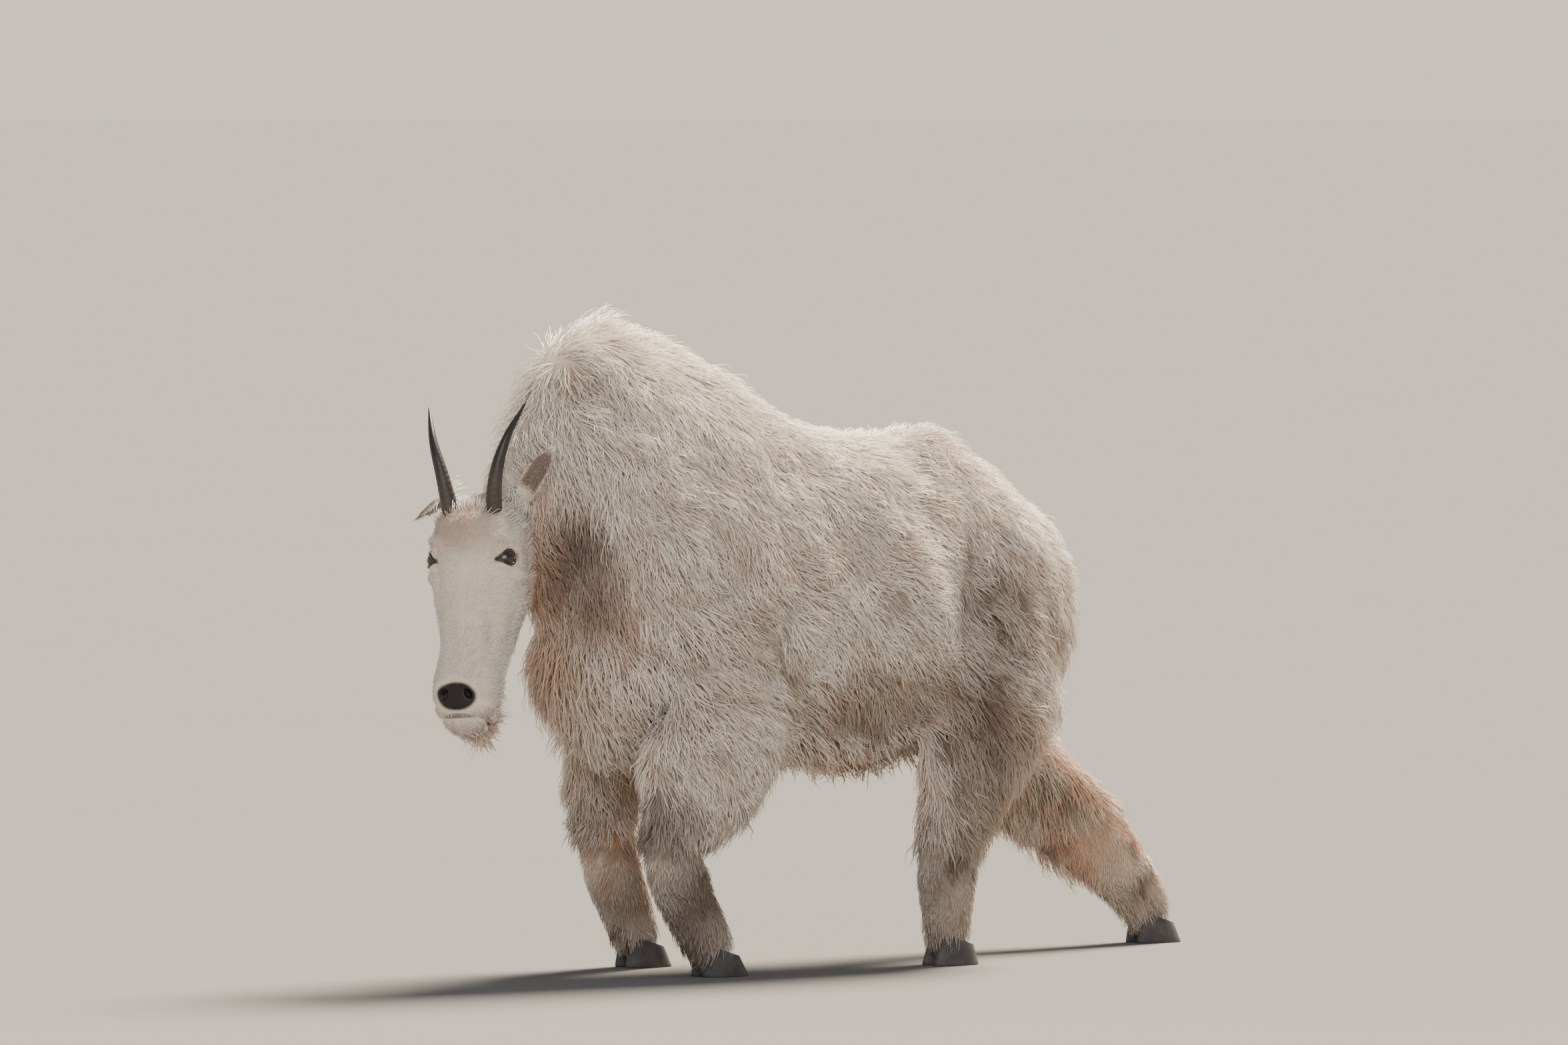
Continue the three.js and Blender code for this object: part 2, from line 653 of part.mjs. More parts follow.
const parts = {};
let trunk = flesh;
let seed = 131;
for (const [name, side] of Object.entries(SIDES)) {
  const cuts = LEG_CUTS[name];
  const region = below(cuts.top, side, -GAP);
  const whole = withLocks(flesh.intersect(region), legLocks(name, seed))
    .intersect(region).subtract(torsoLocksGrown);
  trunk = trunk.subtract(below(cuts.top, side));
  seed += 10;
  const foot = below(
    { y: cuts.hoofY, z: HOOF_HEIGHT - 12, lean: 0, ahead: 200, behind: 200 }, side);
  parts[`leg_${name}_upper`] = {
    solid: whole.subtract(below(cuts.knee, side)), colour: COLOURS.coat, roughness: 0.95,
  };
  parts[`leg_${name}_lower`] = {
    solid: whole.intersect(below(cuts.knee, side, -GAP)).subtract(foot)
      .subtract(hoof(side, cuts.hoofY, GAP)),
    colour: COLOURS.legs,
    roughness: 0.9,
  };
  parts[`hoof_${name}`] = {
    solid: hoof(side, cuts.hoofY).subtract(cleft(side, cuts.hoofY)),
    colour: COLOURS.hoof,
    roughness: 0.5,
  };
}

const crown = joined([1, -1].flatMap((side) => [horn(side, GAP), ear(side, GAP)]));
parts.torso = {
  solid: withLocks(
    trunk.subtract(aheadOfShoulder(GAP)).subtract(joined(grown(neckLocks))), torsoLocks),
  colour: COLOURS.coat,
  roughness: 0.95,
};
parts.neck = {
  solid: withLocks(trunk.intersect(aheadOfShoulder()), neckLocks)
    .subtract(torsoLocksGrown).subtract(joined([skull(GAP), chin()])).subtract(crown),
  colour: COLOURS.coat,
  roughness: 0.95,
};
const face = withLocks(joined([skull(), chin(), lids(1), lids(-1)]), beardLocks());
const faceCuts = joined([nostril(1), nostril(-1), mouthLine()]);
parts.head = {
  solid: face.subtract(joined([eye(1, GAP), eye(-1, GAP), faceCuts, nosePad(GAP)])),
  colour: COLOURS.face,
  roughness: 0.9,
};
parts.nose = {
  solid: joined([skull(), chin()]).intersect(nosePad()).subtract(faceCuts),
  colour: COLOURS.nose,
  roughness: 0.45,
};
parts.tail = {
  solid: tail().subtract(body(GAP)).subtract(torsoLocksGrown),
  colour: COLOURS.coat,
  roughness: 0.95,
};
for (const [name, side] of [["left", 1], ["right", -1]]) {
  parts[`eye_${name}`] = { solid: eye(side), colour: COLOURS.eye, roughness: 0.15 };
  parts[`horn_${name}`] = {
    solid: horn(side).subtract(skull(GAP)), colour: COLOURS.horn, roughness: 0.45,
  };
  parts[`ear_${name}`] = {
    solid: ear(side).subtract(skull(GAP)), colour: COLOURS.ear, roughness: 0.9,
  };
}

const group = new THREE.Group();
group.name = "mountain_goat";
for (const [name, { solid, colour, roughness }] of Object.entries(parts)) {
  const cut = largest(solid).getMesh();
  const geometry = new THREE.BufferGeometry();
  geometry.setAttribute("position", new THREE.BufferAttribute(
    new Float32Array(cut.vertProperties), 3));
  geometry.setIndex(new THREE.BufferAttribute(new Uint32Array(cut.triVerts), 1));
  const mesh = new THREE.Mesh(geometry, new THREE.MeshStandardMaterial({
    color: colour, roughness, metalness: 0,
  }));
  mesh.name = name;
  group.add(mesh);
}

// The goat's own origin: on the floor, under the middle of its box.
const box = new THREE.Box3().setFromObject(group);
group.position.set(-(box.min.x + box.max.x) / 2, -(box.min.y + box.max.y) / 2, -box.min.z);

export default group;
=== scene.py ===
"""A mountain goat in its coat, life size, standing in mid stride on a studio floor.

The forms are drawn in the goat's own millimetres: it faces -Y, its left side is
+X and +Z is up. Finished pieces are moved to metres in the shared frame. Places
along a form and around it come as arrays, so that one call lays a whole skin.
"""
import logging
import math
from dataclasses import dataclass, field
from enum import Enum
from functools import partial
from typing import Callable, Iterable, Sequence

import bmesh
import bpy
import numpy as np
from mathutils import Matrix, Vector
from mathutils.kdtree import KDTree


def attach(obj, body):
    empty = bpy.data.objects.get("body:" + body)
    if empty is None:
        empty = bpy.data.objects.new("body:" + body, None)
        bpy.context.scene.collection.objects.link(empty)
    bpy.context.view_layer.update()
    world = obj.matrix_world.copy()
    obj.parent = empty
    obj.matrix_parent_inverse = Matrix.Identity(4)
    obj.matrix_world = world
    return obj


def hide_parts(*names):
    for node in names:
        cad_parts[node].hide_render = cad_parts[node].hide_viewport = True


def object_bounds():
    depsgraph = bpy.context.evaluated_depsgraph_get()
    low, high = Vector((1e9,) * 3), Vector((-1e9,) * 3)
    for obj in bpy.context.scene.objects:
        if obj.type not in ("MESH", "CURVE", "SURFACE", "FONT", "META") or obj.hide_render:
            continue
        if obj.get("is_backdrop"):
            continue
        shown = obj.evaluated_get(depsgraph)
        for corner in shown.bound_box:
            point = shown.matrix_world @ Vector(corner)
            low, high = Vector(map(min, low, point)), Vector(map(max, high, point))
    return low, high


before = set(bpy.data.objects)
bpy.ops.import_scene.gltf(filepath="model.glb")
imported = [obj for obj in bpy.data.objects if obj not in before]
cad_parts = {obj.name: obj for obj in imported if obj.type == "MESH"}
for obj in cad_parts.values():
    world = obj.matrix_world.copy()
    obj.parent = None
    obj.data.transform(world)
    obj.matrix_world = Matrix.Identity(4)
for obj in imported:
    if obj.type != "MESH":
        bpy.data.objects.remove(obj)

LOG = logging.getLogger("mountain_goat")
ORIGIN = np.array([-2.125, -272.286, 0.0])      # the goat's millimetres to the frame's
METRES = 0.001                   # in one millimetre
LEFTWARD = np.array([1.0, 0, 0])
SIDES = (1, -1)                  # left and right, as signs of x
STEP = 1e-3                      # share of a form's length that gives its direction
SMALLEST = 1e-9                  # keeps a length from being divided by zero
FAR = 5000.0                     # millimetres that make every place a positive number
SEED = 29                        # of the coat's random numbers
MAP = "OFBake"                   # flat map that skin and tufts share

Points = np.ndarray
Colour = tuple[float, float, float, float]


# Numbers


def to_frame(points: Points) -> Points:
    """The goat's own millimetres as metres in the shared frame."""
    return (points + ORIGIN) * METRES


def unit(vectors: Points) -> Points:
    """Vectors of length one."""
    return vectors / np.maximum(np.linalg.norm(vectors, axis=-1, keepdims=True), SMALLEST)


def ramp(values: Points, low: float, high: float) -> Points:
    """Rises smoothly from 0 at low to 1 at high; low may be the larger."""
    share = np.clip((values - low) / (high - low), 0.0, 1.0)
    return share * share * (3.0 - 2.0 * share)


def on_side(at: Sequence[float], side: int) -> Points:
    """A place drawn for the left, or rows of them, moved to the left or the right."""
    return np.array(at, float) * (side, 1, 1)


def reach_from(points: Points, at: Sequence[float], radii: Sequence[float]) -> Points:
    """How far points lie from a middle: 1 on the ellipsoid of those radii."""
    return np.linalg.norm((points - np.array(at, float)) / np.array(radii, float), axis=1)


def squared(values: Points, square: Points | float) -> Points:
    """A cosine or sine bent towards a squarer section; 2 leaves it round."""
    return np.sign(values) * np.abs(values) ** (2.0 / square)


def turning(turn: Sequence[float]) -> Points:
    """The matrix that turns by degrees about x, then y, then z."""
    x, y, z = (Matrix.Rotation(math.radians(turn[i]), 3, "XYZ"[i]) for i in range(3))
    return np.array(z @ y @ x)


def through(knots: Points, share: Points) -> Points:
    """A smooth curve through rows of numbers.

    Args:
        knots: one row of numbers for each station.
        share: places along the curve, 0 to 1.

    Returns:
        One row of numbers for each place.
    """
    knots = np.asarray(knots, float)
    ends = np.vstack([2 * knots[0] - knots[1], knots, 2 * knots[-1] - knots[-2]])
    place = np.clip(np.asarray(share, float), 0.0, 1.0) * (len(knots) - 1)
    first = np.minimum(place.astype(int), len(knots) - 2)
    u = (place - first)[:, None]
    a, b, c, d = (ends[first + i] for i in range(4))
    rise, fall = 0.5 * (c - a), 0.5 * (d - b)
    cubic = 2 * b - 2 * c + rise + fall
    square = -3 * b + 3 * c - 2 * rise - fall
    return cubic * u**3 + square * u**2 + rise * u + b


def wander(points: Points, size: float, seed: int) -> Points:
    """Smooth random vectors that change over a given size.

    Args:
        points: places, in millimetres.
        size: how far apart two unlike vectors lie, in millimetres.
        seed: picks one pattern.

    Returns:
        A vector for each place, each number between -1 and 1.
    """
    cell = points / size + 1000.0
    low = np.floor(cell).astype(np.int64)
    blend = cell - low
    blend = blend * blend * (3.0 - 2.0 * blend)
    total = np.zeros((len(points), 3))
    # the large numbers only mix the cell's own numbers into a chance one
    for corner in np.ndindex(2, 2, 2):
        place = low + np.array(corner)
        code = place[:, 0] * 73856093 ^ place[:, 1] * 19349663 ^ place[:, 2] * 83492791 ^ seed * 2654435
        weight = np.prod(np.where(np.array(corner) == 1, blend, 1.0 - blend), axis=1)
        for axis in range(3):
            mixed = (code * (axis * 2 + 1) + (code >> 13) * 69069 + axis * 40503) & 0xFFFFF
            mixed = (mixed * 16807 + 12345) & 0xFFFFF
            total[:, axis] += weight * (mixed / 524287.5 - 1.0)
    return total


# Forms


def moulded(around: int, along: int, place: Callable[[Points, Points], Points]) -> bmesh.types.BMesh:
    """A ball's closed skin moved to a form.

    Args:
        around: faces round the form.
        along: faces from end to end.
        place: gives the points for shares along and angles around.

    Returns:
        The form's mesh, in the goat's millimetres.
    """
    form = bmesh.new()
    bmesh.ops.create_uvsphere(form, u_segments=around, v_segments=along, radius=1.0)
    round_at = np.array([vert.co for vert in form.verts])
    share = np.arccos(np.clip(round_at[:, 2], -1.0, 1.0)) / math.pi
    for vert, spot in zip(form.verts, place(share, np.arctan2(round_at[:, 1], round_at[:, 0]))):
        vert.co = Vector(spot)
    bmesh.ops.recalc_face_normals(form, faces=form.faces)
    return form


def looped(turns: int, around: int, place: Callable[[Points, Points], Points]) -> bmesh.types.BMesh:
    """A ring of round section moved to a form.

    Args:
        turns: faces along the ring.
        around: faces round its section.
        place: gives the points for angles along and angles around.

    Returns:
        The form's mesh, in the goat's millimetres.
    """
    form = bmesh.new()
    bmesh.ops.create_grid(form, x_segments=turns, y_segments=around, size=math.pi)
    sheet = np.array([vert.co for vert in form.verts])
    for vert, spot in zip(form.verts, place(sheet[:, 0], sheet[:, 1])):
        vert.co = Vector(spot)
    bmesh.ops.remove_doubles(form, verts=form.verts, dist=0.01)
    bmesh.ops.recalc_face_normals(form, faces=form.faces)
    return form


def ball(share: Points, angle: Points) -> Points:
    """Points of a ball of radius one, from its top down and around."""
    wide = np.sin(math.pi * share)
    return np.column_stack([wide * np.cos(angle), wide * np.sin(angle), np.cos(math.pi * share)])


def ellipsoid(at: Sequence[float], radii: Sequence[float], turn: Sequence[float] = (0, 0, 0),
              around: int = 32, along: int = 24) -> bmesh.types.BMesh:
    """An ellipsoid of a given size, turned by degrees about x, y and z."""
    spin = turning(turn)
    return moulded(around, along, lambda t, a: np.array(at) + (ball(t, a) * np.array(radii)) @ spin.T)


def spread(share: Points) -> Points:
    """Stations set closer together towards both ends of a form."""
    return 0.6 * share + 0.2 * (1.0 - np.cos(math.pi * share))


def end_rounding(share: Points, count: int, head: float = 1.0, tail: float = 1.0) -> Points:
    """How far a section is closed in towards a form's two round ends.

    Args:
        share: places along the form, 0 to 1.
        count: the form's rings.
        head: how many ring gaps the first end's rounding takes.
        tail: how many the last end's takes.

    Returns:
        The share of the full section that is left at each place.
    """
    q = share * (count - 1)
    near = np.sqrt(np.clip(1 - np.clip(1 - q / head, 0, 1) ** 2, 0, 1))
    far = np.sqrt(np.clip(1 - np.clip(1 - (count - 1 - q) / tail, 0, 1) ** 2, 0, 1))
    return near * far


class Limb(Enum):
    """The four legs, each with its side of the body and the middle of its hoof."""

    FORE_LEFT = ("fore_left", 1, -2.0)
    FORE_RIGHT = ("fore_right", -1, 18.0)
    HIND_LEFT = ("hind_left", 1, 438.0)
    HIND_RIGHT = ("hind_right", -1, 1014.0)

    def __init__(self, label: str, side: int, hoof_y: float) -> None:
        """Keeps the limb's name, side and place."""
        self.label, self.side, self.hoof_y = label, side, hoof_y

    def is_fore(self) -> bool:
        """Whether this is a foreleg."""
        return self in (Limb.FORE_LEFT, Limb.FORE_RIGHT)


@dataclass(frozen=True)
class Trunk:
    """Trunk and neck from the rump forward: y, x, top, mid, low, half, over, under.

    Top, mid and low are heights, half is the half width, and over and under say how
    square the section is above and below its middle.
    """

    rings: tuple = (
        (752, 0, 706, 556, 400, 122, 2.1, 2.0), (668, 0, 738, 556, 385, 138, 2.1, 2.0),
        (580, 0, 802, 560, 356, 168, 2.1, 2.1), (458, 0, 853, 560, 336, 188, 2.0, 2.2),
        (322, 0, 850, 545, 312, 200, 1.9, 2.2), (190, 0, 876, 545, 322, 203, 1.8, 2.2),
        (60, 0, 946, 560, 350, 194, 1.75, 2.1), (-60, 0, 1002, 600, 380, 180, 1.7, 2.0),
        (-165, 2, 1032, 655, 430, 156, 1.7, 1.8), (-255, 12, 990, 715, 520, 100, 1.8, 1.5),
        (-338, 34, 866, 735, 590, 47, 1.5, 1.6), (-400, 56, 804, 720, 640, 41, 1.7, 1.8))
    brisket_at: tuple = (0, -98, 510)
    brisket_radii: tuple = (132, 160, 180)
    coat: float = 21.0               # depth of wool between the skin and the outline
    neck_thinning: float = 0.45      # share of that depth that the neck lacks

    def depth(self, share: Points) -> Points:
        """Depth of the coat along the trunk, least on the slim neck."""
        return self.coat * (1 - self.neck_thinning * ramp(share, 0.8, 0.95))

    def point(self, share: Points, angle: Points) -> Points:
        """Points of the trunk's skin.

        Args:
            share: places from rump to poll, 0 to 1.
            angle: places round it, from the left side and up.

        Returns:
            A point for each place.
        """
        share = spread(share)
        inset = self.depth(share)
        y, x, top, mid, low, half, over, under = through(np.array(self.rings), share).T
        closed = end_rounding(share, len(self.rings))
        above = np.sin(angle) >= 0
        square = np.where(above, over, under)
        reach = np.where(above, top - mid, mid - low) - inset
        return np.column_stack([
            x + (half - inset) * closed * squared(np.cos(angle), square),
            y - inset * (1 - 2 * share),
            mid + reach * closed * squared(np.sin(angle), square)])

    def forms(self) -> list[bmesh.types.BMesh]:
        """The trunk and the brisket under its wool."""
        radii = np.array(self.brisket_radii) - self.coat
        return [moulded(72, 96, self.point), ellipsoid(self.brisket_at, radii, around=48, along=32)]


@dataclass(frozen=True)
class Leg:
    """One leg from inside the body to the pastern: middle, and reach to side, fore and aft."""

    limb: Limb
    rings: tuple
    coat: float = 22.0               # depth of wool on the upper leg
    cannon_coat: float = 7.0         # and on the cannon

    def frames(self, share: Points) -> tuple[Points, Points, Points, Points, Points]:
        """Where the leg's sections lie.

        Args:
            share: places down the leg, 0 to 1.

        Returns:
            Middles, then along, side and aft vectors, then the sections' reaches.
        """
        rings = np.array(self.rings, float)
        rows = through(rings, share)
        ahead = through(rings[:, :3], np.clip(share + STEP, 0, 1))
        behind = through(rings[:, :3], np.clip(share - STEP, 0, 1))
        along = unit(ahead - behind)
        side = unit(LEFTWARD - along * along[:, :1])
        return rows[:, :3], along, side, unit(np.cross(side, along)), rows[:, 3:]

    def depth(self, share: Points) -> Points:
        """Depth of the coat: deep on the thigh and forearm, thin on the cannon."""
        return self.coat - (self.coat - self.cannon_coat) * ramp(share, 0.42, 0.72)

    def point(self, share: Points, angle: Points) -> Points:
        """Points of the leg's skin.

        Args:
            share: places down the leg, 0 to 1.
            angle: places round it, from its left side.

        Returns:
            A point for each place.
        """
        share = spread(share)
        middle, along, side, aft, reach = self.frames(share)
        inset = self.depth(share)[:, None]
        closed = end_rounding(share, len(self.rings), 0.8, 0.35)[:, None]
        length = np.where(np.sin(angle) >= 0, reach[:, 2], reach[:, 1])[:, None]
        return (middle - along * inset * (2 * share[:, None] - 1)
                + side * (reach[:, :1] - inset) * closed * np.cos(angle)[:, None]
                + aft * (length - inset) * closed * np.sin(angle)[:, None])

    def lean(self) -> float:
        """How the pastern leans over the hoof: millimetres back for each one up."""
        middle = self.frames(np.array([0.92]))[0][0]
        return 0.75 * (middle[1] - self.limb.hoof_y) / middle[2] + 0.08

    def forms(self) -> list[bmesh.types.BMesh]:
        """The leg under its coat."""
        return [moulded(40, 64, self.point)]

    def nearest(self, points: Points) -> tuple[Points, Points]:
        """Where places lie on this leg.

        Args:
            points: places in the goat's millimetres.

        Returns:
            How far down the leg each is, and how far from its bone: 1 on its outline.
        """
        share = np.linspace(0, 1, 60)
        middle, _, _, _, reach = self.frames(share)
        best, where = np.full(len(points), 1e9), np.zeros(len(points))
        for spot, size, down in zip(middle, reach, share):
            far = reach_from(points, spot, (size[0], max(size[1], size[2]), 40.0))
            closer = far < best
            best[closer], where[closer] = far[closer], down
        return where, best


LEGS = (
    Leg(Limb.FORE_LEFT, (
        (92, 20, 650, 58, 92, 92), (106, 20, 500, 70, 110, 112), (128, -4, 385, 77, 124, 120),
        (131, -52, 288, 72, 124, 104), (127, -94, 214, 50, 64, 60), (123, -74, 140, 43, 56, 54),
        (121, -36, 74, 40, 50, 48), (120, -8, 24, 36, 42, 42))),
    Leg(Limb.FORE_RIGHT, (
        (-92, 20, 650, 58, 92, 92), (-106, 0, 500, 70, 106, 106), (-126, -26, 390, 73, 104, 98),
        (-127, -46, 290, 62, 86, 80), (-124, -52, 214, 48, 58, 57), (-121, -34, 140, 43, 52, 50),
        (-120, -6, 74, 40, 48, 46), (-120, 14, 24, 36, 42, 42))),
    Leg(Limb.HIND_LEFT, (
        (76, 560, 650, 64, 110, 120), (96, 525, 520, 72, 150, 165), (117, 490, 400, 73, 128, 146),
        (123, 462, 290, 60, 94, 104), (121, 442, 205, 48, 70, 72), (120, 434, 130, 43, 56, 55),
        (120, 434, 70, 40, 48, 47), (120, 436, 24, 36, 42, 42))),
    Leg(Limb.HIND_RIGHT, (
        (-76, 560, 650, 64, 104, 120), (-96, 582, 505, 72, 122, 134), (-110, 648, 380, 70, 118, 120),
        (-116, 752, 288, 60, 112, 92), (-114, 846, 216, 50, 98, 72), (-115, 926, 148, 44, 78, 58),
        (-117, 985, 82, 40, 56, 48), (-118, 1008, 26, 36, 42, 42))),
)


@dataclass(frozen=True)
class Tail:
    """A short tail hanging from the rump."""

    path: tuple = ((0, 690, 640), (0, 752, 650), (0, 758, 552))
    half: float = 22.0
    deep: float = 14.0
    shown: float = 0.86              # share of the path that the dock covers

    def point(self, share: Points, angle: Points) -> Points:
        """Points of the dock.

        Args:
            share: places along it, 0 to 1.
            angle: places round it.

        Returns:
            A point for each place.
        """
        start, bend, tip = (np.array(p, float) for p in self.path)
        s = share[:, None] * self.shown
        middle = (1 - s) ** 2 * start + 2 * s * (1 - s) * bend + s * s * tip
        back = np.cross(unit(2 * (1 - s) * (bend - start) + 2 * s * (tip - bend)), LEFTWARD)
        full = (np.sqrt(np.clip(1 - (2 * share - 1) ** 4, 0, 1)) * (1 - 0.3 * share))[:, None]
        return (middle + full * self.half * np.cos(angle)[:, None] * LEFTWARD
                + full * self.deep * np.sin(angle)[:, None] * back)

    def forms(self) -> list[bmesh.types.BMesh]:
        """The dock under its hair."""
        return [moulded(24, 24, self.point)]


@dataclass(frozen=True)
class Relief:
    """A soft swelling or hollow of the skin, in the millimetres of its own form."""

    at: tuple
    radii: tuple
    amount: float                    # out of the skin, or into it where negative
    turn: tuple = (0, 0, 0)
    paired: bool = True
    crisp: bool = False

    def lift(self, points: Points) -> Points:
        """How far the skin moves out along its normal.

        Args:
            points: places on the skin.

        Returns:
            Millimetres for each place.
        """
        total = np.zeros(len(points))
        for side in SIDES if self.paired else SIDES[:1]:
            spin = turning((self.turn[0], side * self.turn[1], side * self.turn[2]))
            near = reach_from((points - on_side(self.at, side)) @ spin, (0, 0, 0), self.radii)
            total += self.amount * (ramp(near, 1.15, 0.6) if self.crisp else np.exp(-1.6 * near**2))
        return total


@dataclass(frozen=True)
class Head:
    """The head in its own frame: x to its left, y backward, z up from the horn bases.

    Each ring of the skull is z, y, half width, reach to the front and to the back, and
    how square the section is.
    """

    at: tuple = (66, -438, 746)
    turn: float = 33.0
    tilt: float = 14.0
    roll: float = 3.0
    rings: tuple = (
        (26, 88, 46, 40, 66, 2.0), (2, 76, 60, 54, 90, 2.1), (-28, 62, 71, 64, 110, 2.2),
        (-78, 60, 77, 66, 120, 2.1), (-132, 58, 70, 60, 124, 2.0), (-188, 52, 60, 52, 112, 2.0),
        (-242, 44, 54, 46, 86, 2.1), (-288, 38, 54, 45, 68, 2.3), (-320, 40, 50, 42, 56, 2.3),
        (-344, 46, 40, 36, 42, 2.2))
    coat: float = 4.0
    chin_at: tuple = (0, 40, -338)
    chin_radii: tuple = (32, 32, 18)
    eye_at: tuple = (54.5, 33, -87)
    eye_radius: float = 16.8
    lid_half: float = 15.4           # half the lids' opening along, and half of it up
    lid_high: float = 10.8
    lid_power: float = 1.6           # how pointed the opening's corners are
    lid_sink: float = -6.0           # where the skin lies inside the opening, from the ball
    lid_stand: float = 2.2           # and round it
    lid_rolls: tuple = (((-1, -1, 13), (15, 21, 7), -20), ((-1, 1, -13), (14, 19, 5), 14))
    eye_clear: tuple = (26, 22, 17)  # half sizes of the hairless place round an eye
    nose_pad: tuple = ((0, -2, -308), (33, 24, 22))
    nose_clear: tuple = ((0, -2, -307), (34, 26, 24))
    lip_edge: tuple = ((0, 8, -336), (30, 24, 4.5))
    lip_clear: tuple = ((0, 8, -334), (28, 26, 4.5))
    ear_at: tuple = (66, 72, 20)
    ear_length: float = 98.0
    ear_half: float = 20.0
    ear_cup: float = 15.0            # depth of the ear's roll at its root
    ear_sunk: float = 22.0           # how far the root lies in the skull
    ear_thick: float = 3.2           # half the leaf's thickness
    ear_left: tuple = (60, -20, 80)
    ear_right: tuple = (-66, 52, -16)
    horn_path: tuple = ((34, 26, -30), (43, 12, 34), (61, 6, 96), (82, 30, 160))
    horn_root: tuple = (31, 44, -48)
    horn_radius: float = 15.5

    def matrix(self) -> Points:
        """The head's turn in the goat's frame.

        Returns:
            A matrix of three rows.
        """
        turns = ((self.turn, "Z"), (-self.tilt, "X"), (-self.roll, "Y"))
        z, x, y = (Matrix.Rotation(math.radians(angle), 3, axis) for angle, axis in turns)
        return np.array(z @ x @ y)

    def outward(self, points: Points) -> Points:
        """Points of the head's frame in the goat's."""
        return points @ self.matrix().T + np.array(self.at, float)

    def inward(self, points: Points) -> Points:
        """Points of the goat's frame in the head's."""
        return (points - np.array(self.at, float)) @ self.matrix()

    def on_head(self, form: bmesh.types.BMesh) -> bmesh.types.BMesh:
        """Moves a form drawn in the head's frame into the goat's.

        Args:
            form: the form's mesh.

        Returns:
            The same mesh.
        """
        place = Matrix(self.matrix().tolist()).to_4x4()
        place.translation = Vector(self.at)
        bmesh.ops.transform(form, matrix=place, verts=form.verts)
        return form

    def skull_point(self, share: Points, angle: Points) -> Points:
        """Points of the skull and jaws.

        Args:
            share: places from the poll to the lip, 0 to 1.
            angle: places round it.

        Returns:
            A point for each place, in the goat's frame.
        """
        share = spread(share)
        z, y, half, front, back, square = through(np.array(self.rings), share).T
        closed = end_rounding(share, len(self.rings))
        reach = np.where(np.sin(angle) >= 0, back, front) - self.coat
        return self.outward(np.column_stack([
            (half - self.coat) * closed * squared(np.cos(angle), square),
            y + reach * closed * squared(np.sin(angle), square),
            z - self.coat * (1 - 2 * share)]))

    def fullness(self, points: Points) -> Points:
        """How far out places lie from the skull's axis.

        Args:
            points: places in the head's frame.

        Returns:
            1 on the skull's skin, less inside it.
        """
        z = np.array(self.rings)[:, 0]
        share = np.interp(-points[:, 2], -z, np.linspace(0, 1, len(z)))
        _, y, half, front, back, _ = through(np.array(self.rings), share).T
        reach = np.where(points[:, 1] >= y, back, front)
        over = np.maximum(points[:, 2] - z[0], z[-1] - points[:, 2]) / 30.0
        return np.sqrt((points[:, 0] / half) ** 2 + ((points[:, 1] - y) / reach) ** 2) + np.maximum(over, 0)

    def ear_frame(self, side: int) -> tuple[Points, Points, Points, Points]:
        """How one ear stands.

        Args:
            side: 1 for the left ear, -1 for the right one.

        Returns:
            Its start, then its along, open and across vectors.
        """
        along = unit(np.array(self.ear_left if side > 0 else self.ear_right, float))
        opening = np.array([0, -1.0, -0.25] if side > 0 else [-0.3, 0.7, -1.0])
        opening = unit(opening - along * (opening @ along))
        return on_side(self.ear_at, side), along, opening, np.cross(along, opening)

    def ear_point(self, side: int, share: Points, angle: Points) -> Points:
        """Points of an ear: a thin leaf, rolled to a cup and drawn to a point.

        Args:
            side: 1 for the left ear, -1 for the right one.
            share: places along it, 0 to 1.
            angle: places round its section.

        Returns:
            A point for each place, in the goat's frame.
        """
        start, along, opening, across = self.ear_frame(side)
        width = np.sin(math.pi * np.minimum(1, share**0.72)) ** 0.8
        middle = np.cos(angle)
        hollow = -(1 - middle**2) * (self.ear_cup - 6.0 * share) * width
        return self.outward(
            start + along * (-self.ear_sunk + share * (self.ear_length + 20))[:, None]
            + across * (self.ear_half * width * middle)[:, None]
            + opening * (hollow + 8 * width + self.ear_thick * width * np.sin(angle))[:, None])

    def ear_cup_shade(self, local: Points) -> Points:
        """Painted shade inside the ears' cups.

        Args:
            local: places in the head's frame.

        Returns:
            1 inside an ear, 0 elsewhere.
        """
        inside = np.zeros(len(local))
        for side in SIDES:
            start, along, opening, across = self.ear_frame(side)
            away = local - start
            reach, width, out = away @ along, away @ across, away @ opening
            bowl = ramp(np.abs(width) / self.ear_half, 0.95, 0.6) * ramp(reach, 4, 18) * ramp(reach, 90, 70)
            inside = np.maximum(inside, bowl * ramp(out, -6.5, -2.5) * (out < 30))
        return inside

    def eye_axes(self, side: int) -> tuple[Points, Points, Points]:
        """How one eye stands in the head's frame.

        Args:
            side: 1 for the left eye, -1 for the right one.

        Returns:
            Where it looks, its level axis and its upright one.
        """
        gaze = unit(np.array([side * 1.0, -0.42, 0.06]))
        up = unit(np.array([0, -0.28, 1.0]) - gaze * (np.array([0, -0.28, 1.0]) @ gaze))
        return gaze, np.cross(up, gaze), up

    def forms(self) -> list[bmesh.types.BMesh]:
        """Skull, chin, the rolls over and under each eye, and the ears.

        Returns:
            Closed meshes, ready to be made one skin.
        """
        shapes = [moulded(64, 72, self.skull_point), self.on_head(ellipsoid(self.chin_at, self.chin_radii))]
        for side in SIDES:
            for shift, radii, lean in self.lid_rolls:
                at = on_side(np.array(self.eye_at) + shift, side)
                shapes.append(self.on_head(ellipsoid(at, radii, (0, side * lean, 0))))
            shapes.append(moulded(32, 40, partial(self.ear_point, side)))
        return shapes


